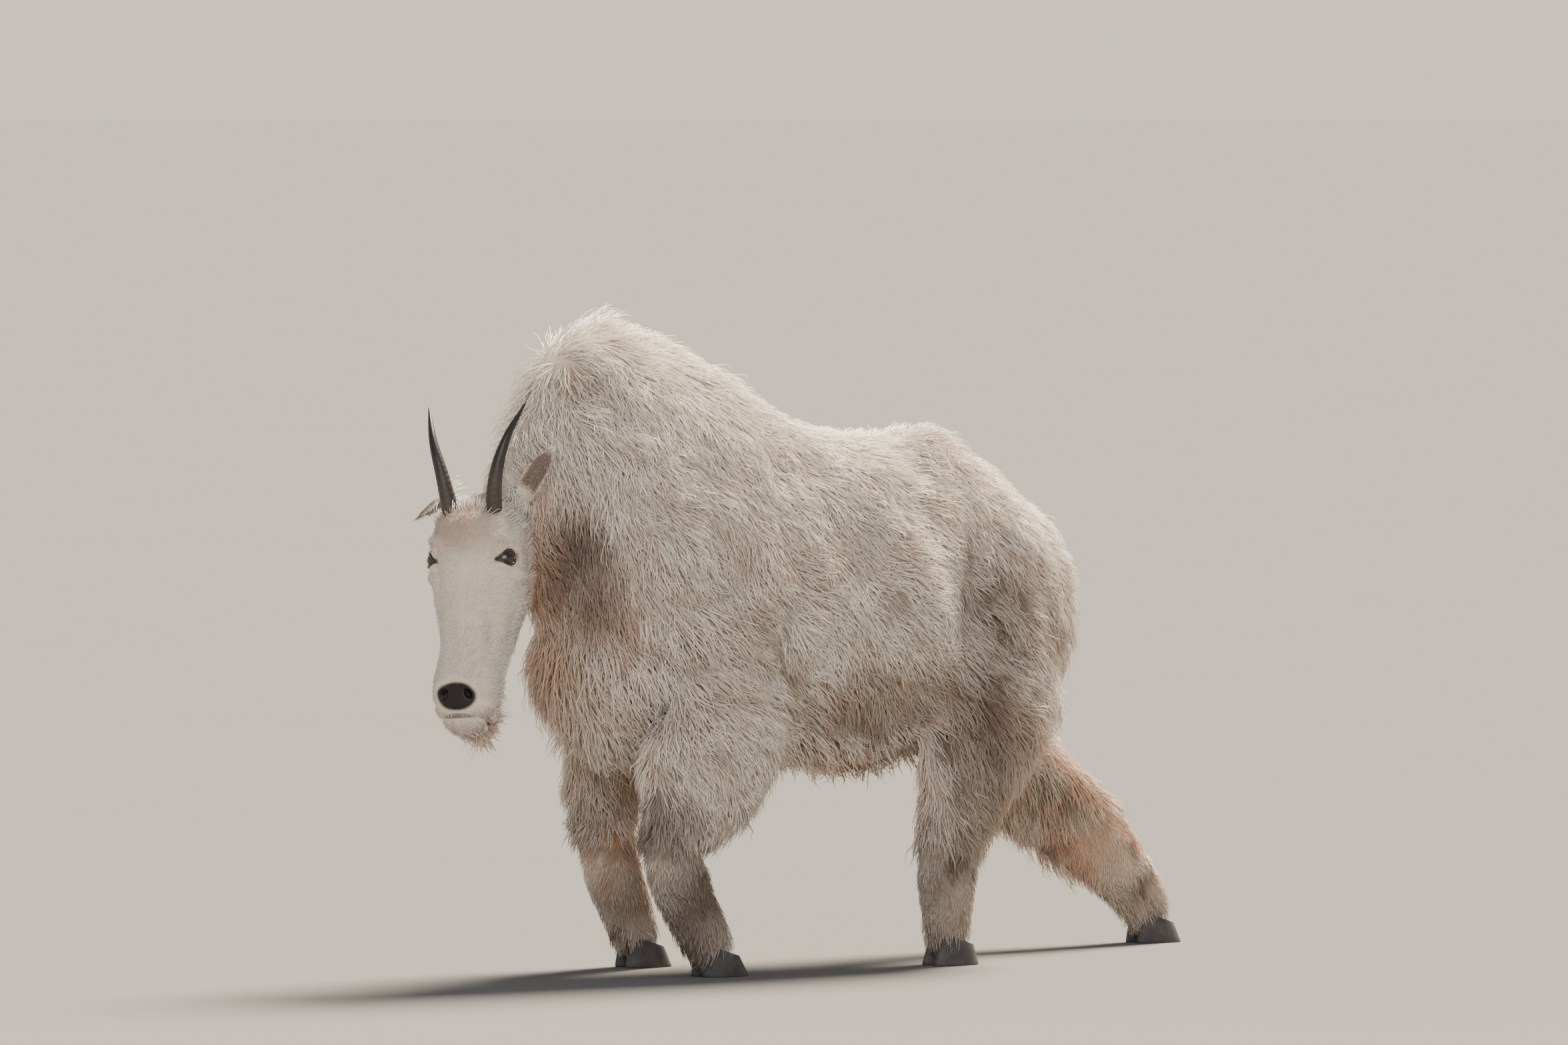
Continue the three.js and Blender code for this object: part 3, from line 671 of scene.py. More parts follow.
HEAD_RELIEF = (
    Relief((54, 20, -58), (20, 26, 11), 9.0, (0, -20, 0)),  # brow
    Relief((52, -2, -124), (17, 24, 34), -9.0),  # hollow before the eye
    Relief((70, 58, -108), (15, 46, 12), 8.0, (14, 0, 0)),  # cheekbone
    Relief((62, 104, -134), (20, 38, 46), 7.0),  # jaw's muscle
    Relief((62, 70, -66), (16, 22, 20), -5.0),  # temple
    Relief((50, 4, -116), (9, 18, 26), -4.0),  # tear groove
    Relief((24, 4, -330), (17, 16, 9), 4.0),  # upper lip
    Relief((0, -6, -176), (17, 14, 96), 6.0, paired=False),  # bridge of the nose
    Relief((50, 22, -206), (17, 30, 46), -10.0),  # side of the muzzle
    Relief((27, 2, -292), (14, 16, 20), 7.0),  # wing of the nostril
    Relief((30, 22, -328), (20, 22, 10), 3.5),  # side of the lip
    Relief((20, -4, -304), (6.0, 14, 9), -10.0, (0, -32, 0), crisp=True),  # nostril
    Relief((0, -7, -322), (2.6, 12, 13), -3.0, paired=False, crisp=True),  # groove of the lip
    Relief((40, 48, -322), (9, 40, 3.0), -4.0, (24, 0, 0), crisp=True),  # corner of the mouth
    Relief((0, 6, -336), (26, 16, 3.0), -3.5, paired=False, crisp=True),  # line of the mouth
    Relief((0, 12, -34), (30, 20, 26), 6.0, paired=False),  # forehead
    Relief((0, 52, -352), (26, 26, 12), 3.0, paired=False),  # chin
)

BODY_RELIEF = (
    Relief((150, -60, 700), (50, 120, 170), 13.0, (-14, 0, 0)),  # shoulder blade
    Relief((150, 84, 520), (60, 34, 170), -17.0, (-10, 0, 0)),  # hollow behind the shoulder
    Relief((186, 432, 590), (70, 26, 170), -26.0, (-6, 0, 0)),  # hollow of the flank
    Relief((165, 345, 600), (60, 52, 190), 14.0, (-8, 0, 0)),  # last ribs
    Relief((110, 318, 790), (50, 60, 60), 9.0),  # loin
    Relief((140, 560, 620), (60, 90, 120), 12.0),  # haunch
    Relief((70, 430, 838), (40, 40, 24), 6.0),  # hip bone
    Relief((0, 300, 850), (50, 120, 24), -4.0, paired=False),  # dip of the back
    Relief((74, -236, 636), (60, 44, 110), -26.0, (-8, 0, 0)),  # hollow of the neck
)


# Meshes


def placed(name: str, data: bpy.types.ID) -> bpy.types.Object:
    """Puts a mesh, light or camera into the scene.

    Args:
        name: the new object's name.
        data: what it shows.

    Returns:
        The object.
    """
    piece = bpy.data.objects.new(name, data)
    bpy.context.scene.collection.objects.link(piece)
    return piece


def mesh_object(name: str, forms: Iterable[bmesh.types.BMesh]) -> bpy.types.Object:
    """Puts forms drawn in the goat's millimetres into one object, in the frame's metres.

    Args:
        name: the object's name.
        forms: the meshes, which are used up.

    Returns:
        The object.
    """
    whole = bmesh.new()
    for form in forms:
        part = bpy.data.meshes.new("part")
        form.to_mesh(part)
        form.free()
        whole.from_mesh(part)
        bpy.data.meshes.remove(part)
    bmesh.ops.translate(whole, vec=Vector(ORIGIN), verts=whole.verts)
    bmesh.ops.scale(whole, vec=Vector((METRES,) * 3), verts=whole.verts)
    mesh = bpy.data.meshes.new(name)
    whole.to_mesh(mesh)
    whole.free()
    return placed(name, mesh)


def settle(piece: bpy.types.Object) -> None:
    """Makes a piece's modifiers part of its mesh.

    Args:
        piece: the piece, whose modifiers are used up.
    """
    seen = piece.evaluated_get(bpy.context.evaluated_depsgraph_get())
    mesh = bpy.data.meshes.new_from_object(seen)
    old = piece.data
    piece.modifiers.clear()
    piece.data = mesh
    bpy.data.meshes.remove(old)
    mesh.name = piece.name


def corners(mesh: bpy.types.Mesh) -> Points:
    """A mesh's vertices.

    Args:
        mesh: the mesh, in metres.

    Returns:
        A row for each vertex, in the goat's millimetres.
    """
    flat = np.empty(len(mesh.vertices) * 3)
    mesh.vertices.foreach_get("co", flat)
    return flat.reshape(-1, 3) / METRES - ORIGIN


def normals(mesh: bpy.types.Mesh) -> Points:
    """A mesh's normals.

    Args:
        mesh: the mesh.

    Returns:
        A row for each vertex.
    """
    flat = np.empty(len(mesh.vertices) * 3)
    mesh.vertex_normals.foreach_get("vector", flat)
    return flat.reshape(-1, 3)


def move_corners(mesh: bpy.types.Mesh, points: Points) -> None:
    """Sets a mesh's vertices from the goat's millimetres."""
    mesh.vertices.foreach_set("co", to_frame(points).ravel())
    mesh.update()


def smooth_shaded(mesh: bpy.types.Mesh) -> None:
    """Shades all faces smooth."""
    mesh.polygons.foreach_set("use_smooth", np.ones(len(mesh.polygons), bool))


def write_value(mesh: bpy.types.Mesh, name: str, values: Points) -> None:
    """Keeps one number for each vertex under a name that a material reads."""
    layer = mesh.attributes.new(name, "FLOAT", "POINT")
    layer.data.foreach_set("value", np.asarray(values, np.float32))


# Markings


@dataclass(frozen=True)
class Stain:
    """A soft patch of colour on the coat, in the goat's millimetres."""

    at: tuple
    radii: tuple
    strength: float

    def share(self, points: Points) -> Points:
        """How strongly the patch colours each place."""
        return self.strength * ramp(reach_from(points, self.at, self.radii), 1.25, 0.45)


@dataclass(frozen=True)
class Markings:
    """Where the white coat is tan, where it is dirty, and where painted shade darkens it, on skin and wool
    alike.
    """

    tan: tuple = (
        Stain((78, -280, 610), (85, 90, 160), 0.9),  # neck, left
        Stain((-40, -300, 640), (90, 80, 150), 0.7),  # neck, right
        Stain((0, -250, 470), (130, 90, 120), 0.6),  # chest
        Stain((130, -200, 560), (60, 50, 80), 0.5),  # front of the left shoulder
        Stain((0, 750, 470), (150, 80, 130), 0.6),  # under the tail
        Stain((0, 250, 300), (180, 340, 80), 0.85),  # belly
        Stain((-110, 660, 350), (85, 170, 180), 0.6),  # right thigh
        Stain((-100, 0, 270), (70, 100, 200), 0.85),  # right foreleg
        Stain((-116, 860, 210), (75, 210, 170), 0.72),  # right hind shank
        Stain((118, 520, 340), (80, 90, 160), 0.55),  # left thigh
        Stain((84, -246, 930), (50, 66, 34), 0.5),  # side of the mane
        Stain((180, 300, 400), (60, 220, 90), 0.5),  # low left flank
        Stain((73, -440, 716), (95, 70, 66), 0.42),  # forehead
        Stain((96, -424, 404), (44, 44, 56), 0.55),  # beard
    )
    # dirt, and one patch of painted shade in the neck's hollow
    dirt: tuple = (
        Stain((138, -130, 252), (54, 64, 60), 0.85),  # left knee
        Stain((-126, -100, 240), (50, 50, 60), 0.5),  # right knee
        Stain((120, -60, 110), (80, 90, 140), 0.8),  # left fore shank
        Stain((-120, -10, 90), (80, 90, 120), 0.6),  # right fore shank
        Stain((120, 434, 110), (80, 90, 170), 0.66),  # left hind shank
        Stain((-117, 980, 60), (70, 110, 80), 0.5),  # right hind pastern
        Stain((150, 470, 330), (60, 70, 130), 0.5),  # left stifle
        Stain((96, -250, 630), (66, 66, 130), 0.95),  # hollow of the neck: painted shade under the mane's fringe
        Stain((73, -440, 720), (95, 60, 56), 0.22),  # forehead
        Stain((170, 480, 560), (60, 70, 170), 0.42),  # hollow of the left flank
        Stain((150, 600, 560), (90, 110, 160), 0.2),  # left haunch
        Stain((165, 300, 410), (60, 210, 90), 0.38),  # low left flank
        Stain((120, 500, 390), (70, 100, 120), 0.46),  # front of the left thigh
    )
    tan_clump: float = 34.0          # how far apart the wool's changes of tan, and of dirt with painted shade, lie
    dirt_clump: float = 40.0
    fleck: float = 21.0
    faint_tan: float = 0.1           # over all of the coat, and how much more on the flanks
    flank_tan: float = 0.32

    def tan_share(self, points: Points) -> Points:
        """How tan the coat is, broken up as the wool clumps.

        Args:
            points: places in the goat's millimetres.

        Returns:
            A share for each place.
        """
        broken = 0.5 + 0.5 * wander(points, self.tan_clump, 3)[:, 0]
        flank = ramp(points[:, 2], 960.0, 640.0) * ramp(points[:, 1], -300.0, -120.0)
        wash = self.faint_tan + self.flank_tan * flank
        plain = self.joined(self.tan, points)
        return np.clip(plain * (0.7 + 0.6 * broken) + wash * ramp(broken, 0.3, 0.9), 0, 1)

    def dirt_share(self, points: Points) -> Points:
        """How dirty the coat is, with flecks all over, and the painted shade in the neck's hollow.

        Args:
            points: places in the goat's millimetres.

        Returns:
            A share for each place.
        """
        fleck = ramp(wander(points, self.fleck, 8)[:, 1], 0.30, 0.8)
        side = ramp(points[:, 2], 860.0, 480.0) * ramp(points[:, 1], -220.0, 0.0)
        broken = 0.5 + 0.5 * wander(points, self.dirt_clump, 5)[:, 0]
        plain = self.joined(self.dirt, points)
        return np.clip(plain * (0.65 + 0.6 * broken) + fleck * (0.07 + 0.5 * side), 0, 1)

    @staticmethod
    def joined(stains: tuple, points: Points) -> Points:
        """Several patches over one another.

        Args:
            stains: the patches.
            points: places in the goat's millimetres.

        Returns:
            The share that they colour at each place.
        """
        clear = np.ones(len(points))
        for stain in stains:
            clear *= 1 - np.clip(stain.share(points), 0, 1)
        return 1 - clear


# Finishes

MULTIPLY = {"operation": "MULTIPLY", "use_clamp": True}
MULTIPLY_ADD = {"operation": "MULTIPLY_ADD", "use_clamp": True}
COLOURS = {"data_type": "RGBA"}
SHARE, UNDER, OVER = 0, 6, 7     # inputs of a node that mixes colours
MIXED = 2                        # and its output


def linear(code: str) -> Colour:
    """A hex sRGB colour as the linear one that a shader takes."""
    parts = [int(code[i:i + 2], 16) / 255 for i in (1, 3, 5)]
    return tuple(c / 12.92 if c <= 0.04045 else ((c + 0.055) / 1.055) ** 2.4 for c in parts) + (1.0,)


def add(tree: bpy.types.NodeTree, kind: str, settings: dict | None = None, inputs: dict | None = None,
        output: str | int = 0) -> bpy.types.NodeSocket | None:
    """Adds a node with its settings and links.

    Args:
        tree: the material's nodes.
        kind: the node's type, without the word ShaderNode.
        settings: its own properties.
        inputs: values or sockets, by input name or number.
        output: name or number of the output that is wanted.

    Returns:
        That output, or None for a node without any.
    """
    made = tree.nodes.new(f"ShaderNode{kind}")
    for name, value in (settings or {}).items():
        setattr(made, name, value)
    for name, value in (inputs or {}).items():
        socket = made.inputs[name]
        if isinstance(value, bpy.types.NodeSocket):
            tree.links.new(value, socket)
        else:
            socket.default_value = value
    return made.outputs[output] if made.outputs else None


@dataclass(frozen=True)
class Finish:
    """What every finish has: a name, and the shader that its surface ends in."""

    name: str

    def material(self) -> bpy.types.Material:
        """Makes the material, or gives the one that is there.

        Returns:
            The material.
        """
        known = bpy.data.materials.get(self.name)
        if known:
            return known
        made = bpy.data.materials.new(self.name)
        made.use_nodes = True
        tree = made.node_tree
        tree.nodes.clear()
        add(tree, "OutputMaterial", None, {"Surface": self.shade(tree)})
        return made

    def shade(self, tree: bpy.types.NodeTree) -> bpy.types.NodeSocket:
        """Adds the nodes and gives the last shader's output."""
        raise NotImplementedError


@dataclass(frozen=True)
class Wool(Finish):
    """Goat's wool and guard hair, grown: dull fibres with a faint gloss, white towards the tip, with painted
    shade darkening each tuft towards its root.
    """

    white: str = "#f5ebde"
    # painted shade: the darker colour at a tuft's root, as the coat's depth would shade it
    root: str = "#c3b4a2"
    tan: str = "#c29c82"
    # dirt, and painted shade in the neck's hollow and inside the ears
    dirt: str = "#6b5546"
    shadow: str = "#8f8070"
    roughness: float = 0.72
    specular: float = 0.22
    sheen: float = 0.25
    root_shade_fade: tuple = (1.9, 0.12)   # painted shade at the root: how fast a tuft turns white, and how white its root is
    tan_by_tone: tuple = (0.35, 0.7)
    dark_by_tone: tuple = (-0.18, 0.18)

    def shade(self, tree: bpy.types.NodeTree) -> bpy.types.NodeSocket:
        """Painted shade from root to tip, then the markings, then each tuft's own tone.

        Args:
            tree: the material's nodes.

        Returns:
            The shader's output.
        """
        along, tone, tan, dirt = (
            add(tree, "Attribute", {"attribute_name": name}, output="Fac")
            for name in ("along", "tone", "tan", "dirt"))
        # each tuft is a little lighter or darker, and more or less tan, than the next
        lines = ((along, self.root_shade_fade), (tone, self.tan_by_tone), (tone, self.dark_by_tone))
        tip, uneven, darker = (
            add(tree, "Math", MULTIPLY_ADD, {0: value, 1: slope, 2: start})
            for value, (slope, start) in lines)
        tanned = add(tree, "Math", MULTIPLY, {0: uneven, 1: tan})
        # painted shade: each tuft starts from the darker root colour and turns white towards its tip; the
        # dirt layer holds painted shade as well
        base = linear(self.root)
        layers = ((tip, self.white), (tanned, self.tan), (dirt, self.dirt), (darker, self.shadow))
        for share, colour in layers:
            base = add(tree, "Mix", COLOURS, {SHARE: share, UNDER: base, OVER: linear(colour)}, MIXED)
        return add(tree, "BsdfPrincipled", None, {
            "Base Color": base, "Roughness": self.roughness, "Specular IOR Level": self.specular,
            "Sheen Weight": self.sheen, "Sheen Roughness": 0.45})


GOAT_WOOL = Wool("goat_wool")
# painted shade: the face hair's darker root colour
FACE_HAIR = Wool("face_hair", white="#e6e2dc", root="#b9b0a6", sheen=0.2)


@dataclass(frozen=True)
class Hide(Finish):
    """Hide with its close underfur, dull and mottled, the bare leather of nose, lips and lids, and painted
    shade inside the ears.
    """

    white: str = "#d9ccbb"
    mottle: str = "#c6b7a4"
    tan: str = "#a87a54"
    # dirt, and painted shade in the neck's hollow
    dirt: str = "#584a42"
    leather: str = "#1d1819"
    # painted shade inside the ears' cups
    ear_cup_shade: str = "#6d5a50"
    patch: float = 12.0              # millimetres of one mottle
    hair_gap: float = 2.2            # millimetres between hairs, drawn coarse enough to show
    hair_depth: float = 1.2

    def shade(self, tree: bpy.types.NodeTree) -> bpy.types.NodeSocket:
        """Underfur with its markings, dark leather, and painted shade inside the ears.

        Args:
            tree: the material's nodes.

        Returns:
            The shader's output.
        """
        tan, dirt, ear_cup_shade, leather = (
            add(tree, "Attribute", {"attribute_name": name}, output="Fac")
            for name in ("tan", "dirt", "ear_cup_shade", "leather"))
        place = add(tree, "TexCoord", output="Object")
        mottle = add(tree, "TexNoise", None, {
            "Vector": place, "Scale": 1.0 / (self.patch * METRES), "Detail": 3.0, "Roughness": 0.55})
        base = linear(self.white)
        # the ears' layer is painted shade, and the dirt layer holds painted shade in the neck's hollow too
        layers = ((mottle, self.mottle), (tan, self.tan), (dirt, self.dirt), (ear_cup_shade, self.ear_cup_shade),
                  (leather, self.leather))
        for share, colour in layers:
            base = add(tree, "Mix", COLOURS, {SHARE: share, UNDER: base, OVER: linear(colour)}, MIXED)
        rough = add(tree, "Math", MULTIPLY_ADD, {0: leather, 1: -0.45, 2: 0.88})
        # hair that lies close, and the pebbled grain of the nose
        upright = add(tree, "Mapping", None, {"Vector": place, "Scale": (1.0, 1.0, 0.35)})
        grain = add(tree, "TexNoise", None, {
            "Vector": upright, "Scale": 1.0 / (self.hair_gap * METRES), "Detail": 2.0, "Roughness": 0.6})
        bump = add(tree, "Bump", None, {
            "Height": grain, "Strength": 0.5, "Distance": self.hair_depth * METRES})
        return add(tree, "BsdfPrincipled", None, {
            "Base Color": base, "Roughness": rough, "Specular IOR Level": 0.3, "Normal": bump})


@dataclass(frozen=True)
class HornKeratin(Finish):
    """Horn, grown in sheaths: hard and near black, greyed by weather, polished towards the tip."""

    dark: str = "#1d1614"
    worn: str = "#4a3f38"
    streak: float = 6.0              # millimetres across one streak of the sheath
    streak_depth: float = 0.8

    def shade(self, tree: bpy.types.NodeTree) -> bpy.types.NodeSocket:
        """Long streaks, paler and duller on the ringed base.

        Args:
            tree: the material's nodes.

        Returns:
            The shader's output.
        """
        along = add(tree, "Attribute", {"attribute_name": "along"}, output="Fac")
        place = add(tree, "TexCoord", output="Object")
        upright = add(tree, "Mapping", None, {"Vector": place, "Scale": (1.0, 1.0, 0.16)})
        streak = add(tree, "TexNoise", None, {
            "Vector": upright, "Scale": 1.0 / (self.streak * METRES), "Detail": 4.0, "Roughness": 0.6})
        worn = add(tree, "Math", MULTIPLY_ADD, {0: along, 1: -0.9, 2: streak})
        base = add(tree, "Mix", COLOURS, {
            SHARE: worn, UNDER: linear(self.dark), OVER: linear(self.worn)}, MIXED)
        rough = add(tree, "Math", MULTIPLY_ADD, {0: along, 1: -0.25, 2: 0.55})
        bump = add(tree, "Bump", None, {
            "Height": streak, "Strength": 0.35, "Distance": self.streak_depth * METRES})
        return add(tree, "BsdfPrincipled", None, {"Base Color": base, "Roughness": rough, "Normal": bump})


@dataclass(frozen=True)
class HoofKeratin(Finish):
    """Hoof, worn on stone: dull slate keratin with a fine upright grain and dust on it."""

    dark: str = "#2b2a2c"
    grey: str = "#3d3a3a"
    dusty: str = "#5d564e"
    roughness: float = 0.62
    grain: float = 4.0               # millimetres across one line of the grain
    grain_depth: float = 1.0
    dust: float = 20.0               # millimetres of one patch of dust

    def shade(self, tree: bpy.types.NodeTree) -> bpy.types.NodeSocket:
        """Upright grain, dusted with the ground's grey.

        Args:
            tree: the material's nodes.

        Returns:
            The shader's output.
        """
        place = add(tree, "TexCoord", output="Object")
        upright = add(tree, "Mapping", None, {"Vector": place, "Scale": (1.0, 1.0, 0.15)})
        grain = add(tree, "TexNoise", None, {
            "Vector": upright, "Scale": 1.0 / (self.grain * METRES), "Detail": 4.0, "Roughness": 0.6})
        cloud = add(tree, "TexNoise", None, {
            "Vector": place, "Scale": 1.0 / (self.dust * METRES), "Detail": 3.0, "Roughness": 0.55})
        dust = add(tree, "Math", MULTIPLY_ADD, {0: cloud, 1: 1.6, 2: -0.65})
        base = linear(self.dark)
        for share, colour in ((grain, self.grey), (dust, self.dusty)):
            base = add(tree, "Mix", COLOURS, {SHARE: share, UNDER: base, OVER: linear(colour)}, MIXED)
        bump = add(tree, "Bump", None, {
            "Height": grain, "Strength": 0.4, "Distance": self.grain_depth * METRES})
        return add(tree, "BsdfPrincipled", None, {
            "Base Color": base, "Roughness": self.roughness, "Normal": bump})


@dataclass(frozen=True)
class WetEye(Finish):
    """The eye: a wet, clear cornea that glints over a dark brown iris and a level, oblong pupil."""

    iris: str = "#2c1b0e"
    fibre: str = "#1b100a"
    pupil: str = "#060404"
    white: str = "#1c1310"
    roughness: float = 0.2
    ior: float = 1.38
    strand: float = 1.6              # millimetres of one fibre of the iris

    def shade(self, tree: bpy.types.NodeTree) -> bpy.types.NodeSocket:
        """Pupil inside iris inside a dark white, all under one clear coat.

        Args:
            tree: the material's nodes.

        Returns:
            The shader's output.
        """
        shown, pupil = (
            add(tree, "Attribute", {"attribute_name": name}, output="Fac") for name in ("iris", "pupil"))
        place = add(tree, "TexCoord", output="Object")
        grain = add(tree, "TexNoise", None, {
            "Vector": place, "Scale": 1.0 / (self.strand * METRES), "Detail": 3.0, "Roughness": 0.55})
        iris = add(tree, "Mix", COLOURS, {
            SHARE: grain, UNDER: linear(self.iris), OVER: linear(self.fibre)}, MIXED)
        base = linear(self.white)
        for share, colour in ((shown, iris), (pupil, linear(self.pupil))):
            base = add(tree, "Mix", COLOURS, {SHARE: share, UNDER: base, OVER: colour}, MIXED)
        return add(tree, "BsdfPrincipled", None, {
            "Base Color": base, "Roughness": self.roughness, "IOR": self.ior,
            "Specular IOR Level": 0.35, "Coat Weight": 0.8, "Coat Roughness": 0.03})


@dataclass(frozen=True)
class StudioFloor(Finish):
    """Floor paint, rolled on: pale and matt, with a faint mottle."""

    light: str = "#706e6b"
    dark: str = "#6d6b68"
    mottle: float = 800.0            # millimetres of one patch

    def shade(self, tree: bpy.types.NodeTree) -> bpy.types.NodeSocket:
        """An even colour with a faint mottle.

        Args:
            tree: the material's nodes.

        Returns:
            The shader's output.
        """
        place = add(tree, "TexCoord", output="Object")
        cloud = add(tree, "TexNoise", None, {
            "Vector": place, "Scale": 1.0 / (self.mottle * METRES), "Detail": 2.0, "Roughness": 0.55})
        base = add(tree, "Mix", COLOURS, {
            SHARE: cloud, UNDER: linear(self.light), OVER: linear(self.dark)}, MIXED)
        return add(tree, "BsdfPrincipled", None, {
            "Base Color": base, "Roughness": 1.0, "Specular IOR Level": 0.0})


# Skin


@dataclass(frozen=True)
class Skin:
    """One closed skin over trunk, neck, legs, tail, head and ears."""

    trunk: Trunk
    legs: tuple[Leg, ...]
    tail: Tail
    head: Head
    markings: Markings
    body_grain: float = 8.0          # size of the body's faces
    head_grain: float = 2.4          # size of the head's faces
    body_passes: int = 18            # rounds of smoothing
    head_passes: int = 3
    wide_fold: tuple = (80.0, 8.5)   # size and height of the fleece's folds
    small_fold: tuple = (38.0, 5.0)

    def build(self) -> bpy.types.Object:
        """Makes the body and the head, joins them and dresses them.

        Returns:
            The skin's object.
        """
        forms = [*self.trunk.forms(), *self.tail.forms(), *(f for leg in self.legs for f in leg.forms())]
        body = mesh_object("skin", forms)
        self.remesh(body, self.body_grain, self.body_passes)
        self.raise_forms(body.data, BODY_RELIEF, corners(body.data))
        self.ruffle(body.data)
        head = mesh_object("head_skin", self.head.forms())
        self.remesh(head, self.head_grain, self.head_passes)
        self.raise_forms(head.data, HEAD_RELIEF, self.head.inward(corners(head.data)))
        self.set_lids(head.data)
        union = body.modifiers.new("head", "BOOLEAN")
        union.operation, union.object, union.solver = "UNION", head, "MANIFOLD"
        settle(body)
        bpy.data.objects.remove(head)
        self.unwrap(body)
        self.mark(body.data)
        smooth_shaded(body.data)
        body.data.materials.clear()
        body.data.materials.append(Hide("hide_and_underfur").material())
        return body

    @staticmethod
    def remesh(piece: bpy.types.Object, grain: float, passes: int) -> None:
        """Melts overlapping forms into one even skin and smooths where they meet.

        Args:
            piece: the forms' object.
            grain: size of the new faces.
            passes: rounds of smoothing.
        """
        melt = piece.modifiers.new("melt", "REMESH")
        melt.mode, melt.voxel_size, melt.adaptivity = "VOXEL", grain * METRES, 0.0
        soft = piece.modifiers.new("soft", "SMOOTH")
        soft.factor, soft.iterations = 0.5, passes
        settle(piece)

    @staticmethod
    def raise_forms(mesh: bpy.types.Mesh, reliefs: tuple[Relief, ...], local: Points) -> None:
        """Moves the skin out and in along its normals, where the reliefs say."""
        lift = sum(relief.lift(local) for relief in reliefs)
        move_corners(mesh, corners(mesh) + normals(mesh) * lift[:, None])

    def ruffle(self, mesh: bpy.types.Mesh) -> None:
        """Lays low folds, which run down and back, into the body's fleece.

        Args:
            mesh: the body's mesh.
        """
        points = corners(mesh)
        sheared = points @ np.array([[1.0, 0, 0], [0, 1.0, 0.25], [0, 0.5, 0.55]])
        wide, small = wander(sheared, self.wide_fold[0], 12), wander(sheared, self.small_fold[0], 13)
        lift = self.wide_fold[1] * wide[:, 0] + self.small_fold[1] * small[:, 1]
        lift *= 0.25 + 0.75 * ramp(points[:, 2], 260, 420)
        move_corners(mesh, points + normals(mesh) * lift[:, None])

    def set_lids(self, mesh: bpy.types.Mesh) -> None:
        """Opens each eye: the skin dips behind the ball and its rim stands just over it.

        Args:
            mesh: the head's mesh.
        """
        head = self.head
        local = head.inward(corners(mesh))
        for side in SIDES:
            centre = on_side(head.eye_at, side)
            gaze, level, up = head.eye_axes(side)
            away = local - centre
            far = np.linalg.norm(away, axis=1)
            spot = unit(away) * head.eye_radius
            almond = (np.abs(spot @ level) / head.lid_half) ** head.lid_power
            almond += (np.abs(spot @ up) / head.lid_high) ** head.lid_power
            radius = head.eye_radius + np.where(almond < 1.0, head.lid_sink, head.lid_stand)
            hold = ramp(almond, 1.75, 1.35) * (away @ gaze > 0) * (far < head.eye_radius + 14)
            local += (centre + unit(away) * radius[:, None] - local) * hold[:, None]
        move_corners(mesh, head.outward(local))

    @staticmethod
    def unwrap(piece: bpy.types.Object) -> None:
        """Lays the skin out flat on the map that the coat's roots share.

        Args:
            piece: the skin's object.
        """
        bpy.context.view_layer.objects.active = piece
        for other in bpy.context.selected_objects:
            other.select_set(False)
        piece.select_set(True)
        piece.data.uv_layers.new(name=MAP)
        bpy.ops.object.mode_set(mode="EDIT")
        bpy.ops.mesh.select_all(action="SELECT")
        bpy.ops.uv.smart_project(angle_limit=math.radians(75), island_margin=0.002)
        bpy.ops.object.mode_set(mode="OBJECT")

    def mark(self, mesh: bpy.types.Mesh) -> None:
        """Writes the markings and painted shade that the hide's material reads.

        Args:
            mesh: the skin's mesh.
        """
        points = corners(mesh)
        local = self.head.inward(points)
        write_value(mesh, "tan", self.markings.tan_share(points))
        # dirt, with painted shade in the neck's hollow
        write_value(mesh, "dirt", self.markings.dirt_share(points))
        write_value(mesh, "leather", self.leather(local))
        # painted shade inside the ears' cups
        write_value(mesh, "ear_cup_shade", self.head.ear_cup_shade(local))

    def leather(self, local: Points) -> Points:
        """Bare black skin: the nose pad, the lips' edge and the rims of the lids.

        Args:
            local: places in the head's frame.

        Returns:
            1 on bare skin, 0 elsewhere.
        """
        pad = reach_from(local, *self.head.nose_pad)
        lips = reach_from(local, *self.head.lip_edge)
        bare = np.maximum(ramp(pad, 1.12, 0.9), 0.7 * ramp(lips, 1.2, 0.7))
        for side in SIDES:
            away = local - on_side(self.head.eye_at, side)
            gaze, level, up = self.head.eye_axes(side)
            rim = (np.abs(away @ level) / 19.5) ** 1.5 + (np.abs(away @ up) / 12.5) ** 1.5
            bare = np.maximum(bare, ramp(rim, 1.22, 0.98) * (away @ gaze > 0))
        return bare


# Coat

PIECE_TRIANGLES = 190000         # the most that one piece of the coat has
RING_CORNERS = 3                 # corners of each ring round a tuft
RING_PLACES = {1: (0.4,), 2: (0.22, 0.66), 3: (0.14, 0.46, 0.78)}
RING_WIDTHS = {1: (1.0,), 2: (1.0, 0.72), 3: (0.86, 1.0, 0.62)}


@dataclass(frozen=True)
class Pelt:
    """How the coat grows in one region, in millimetres."""

    length: float
    width: float
    gap: float                       # between roots
    rise: float                      # how steeply a tuft leaves the skin
    clump: float                     # how strongly tufts draw together at their tips
    curl: float                      # bend to the side, as a share of the length
    rings: int = 3

    def steps(self) -> Points:
        """Where a tuft's root, rings and tip lie along it."""
        return np.array([0.0, *RING_PLACES[self.rings], 1.0])

    def corners(self) -> int:
        """Corners of one tuft: its rings', its root and its tip."""
        return 2 + RING_CORNERS * self.rings

    def triangles(self) -> int:
        """Triangles of one tuft."""
        return 2 * RING_CORNERS * self.rings


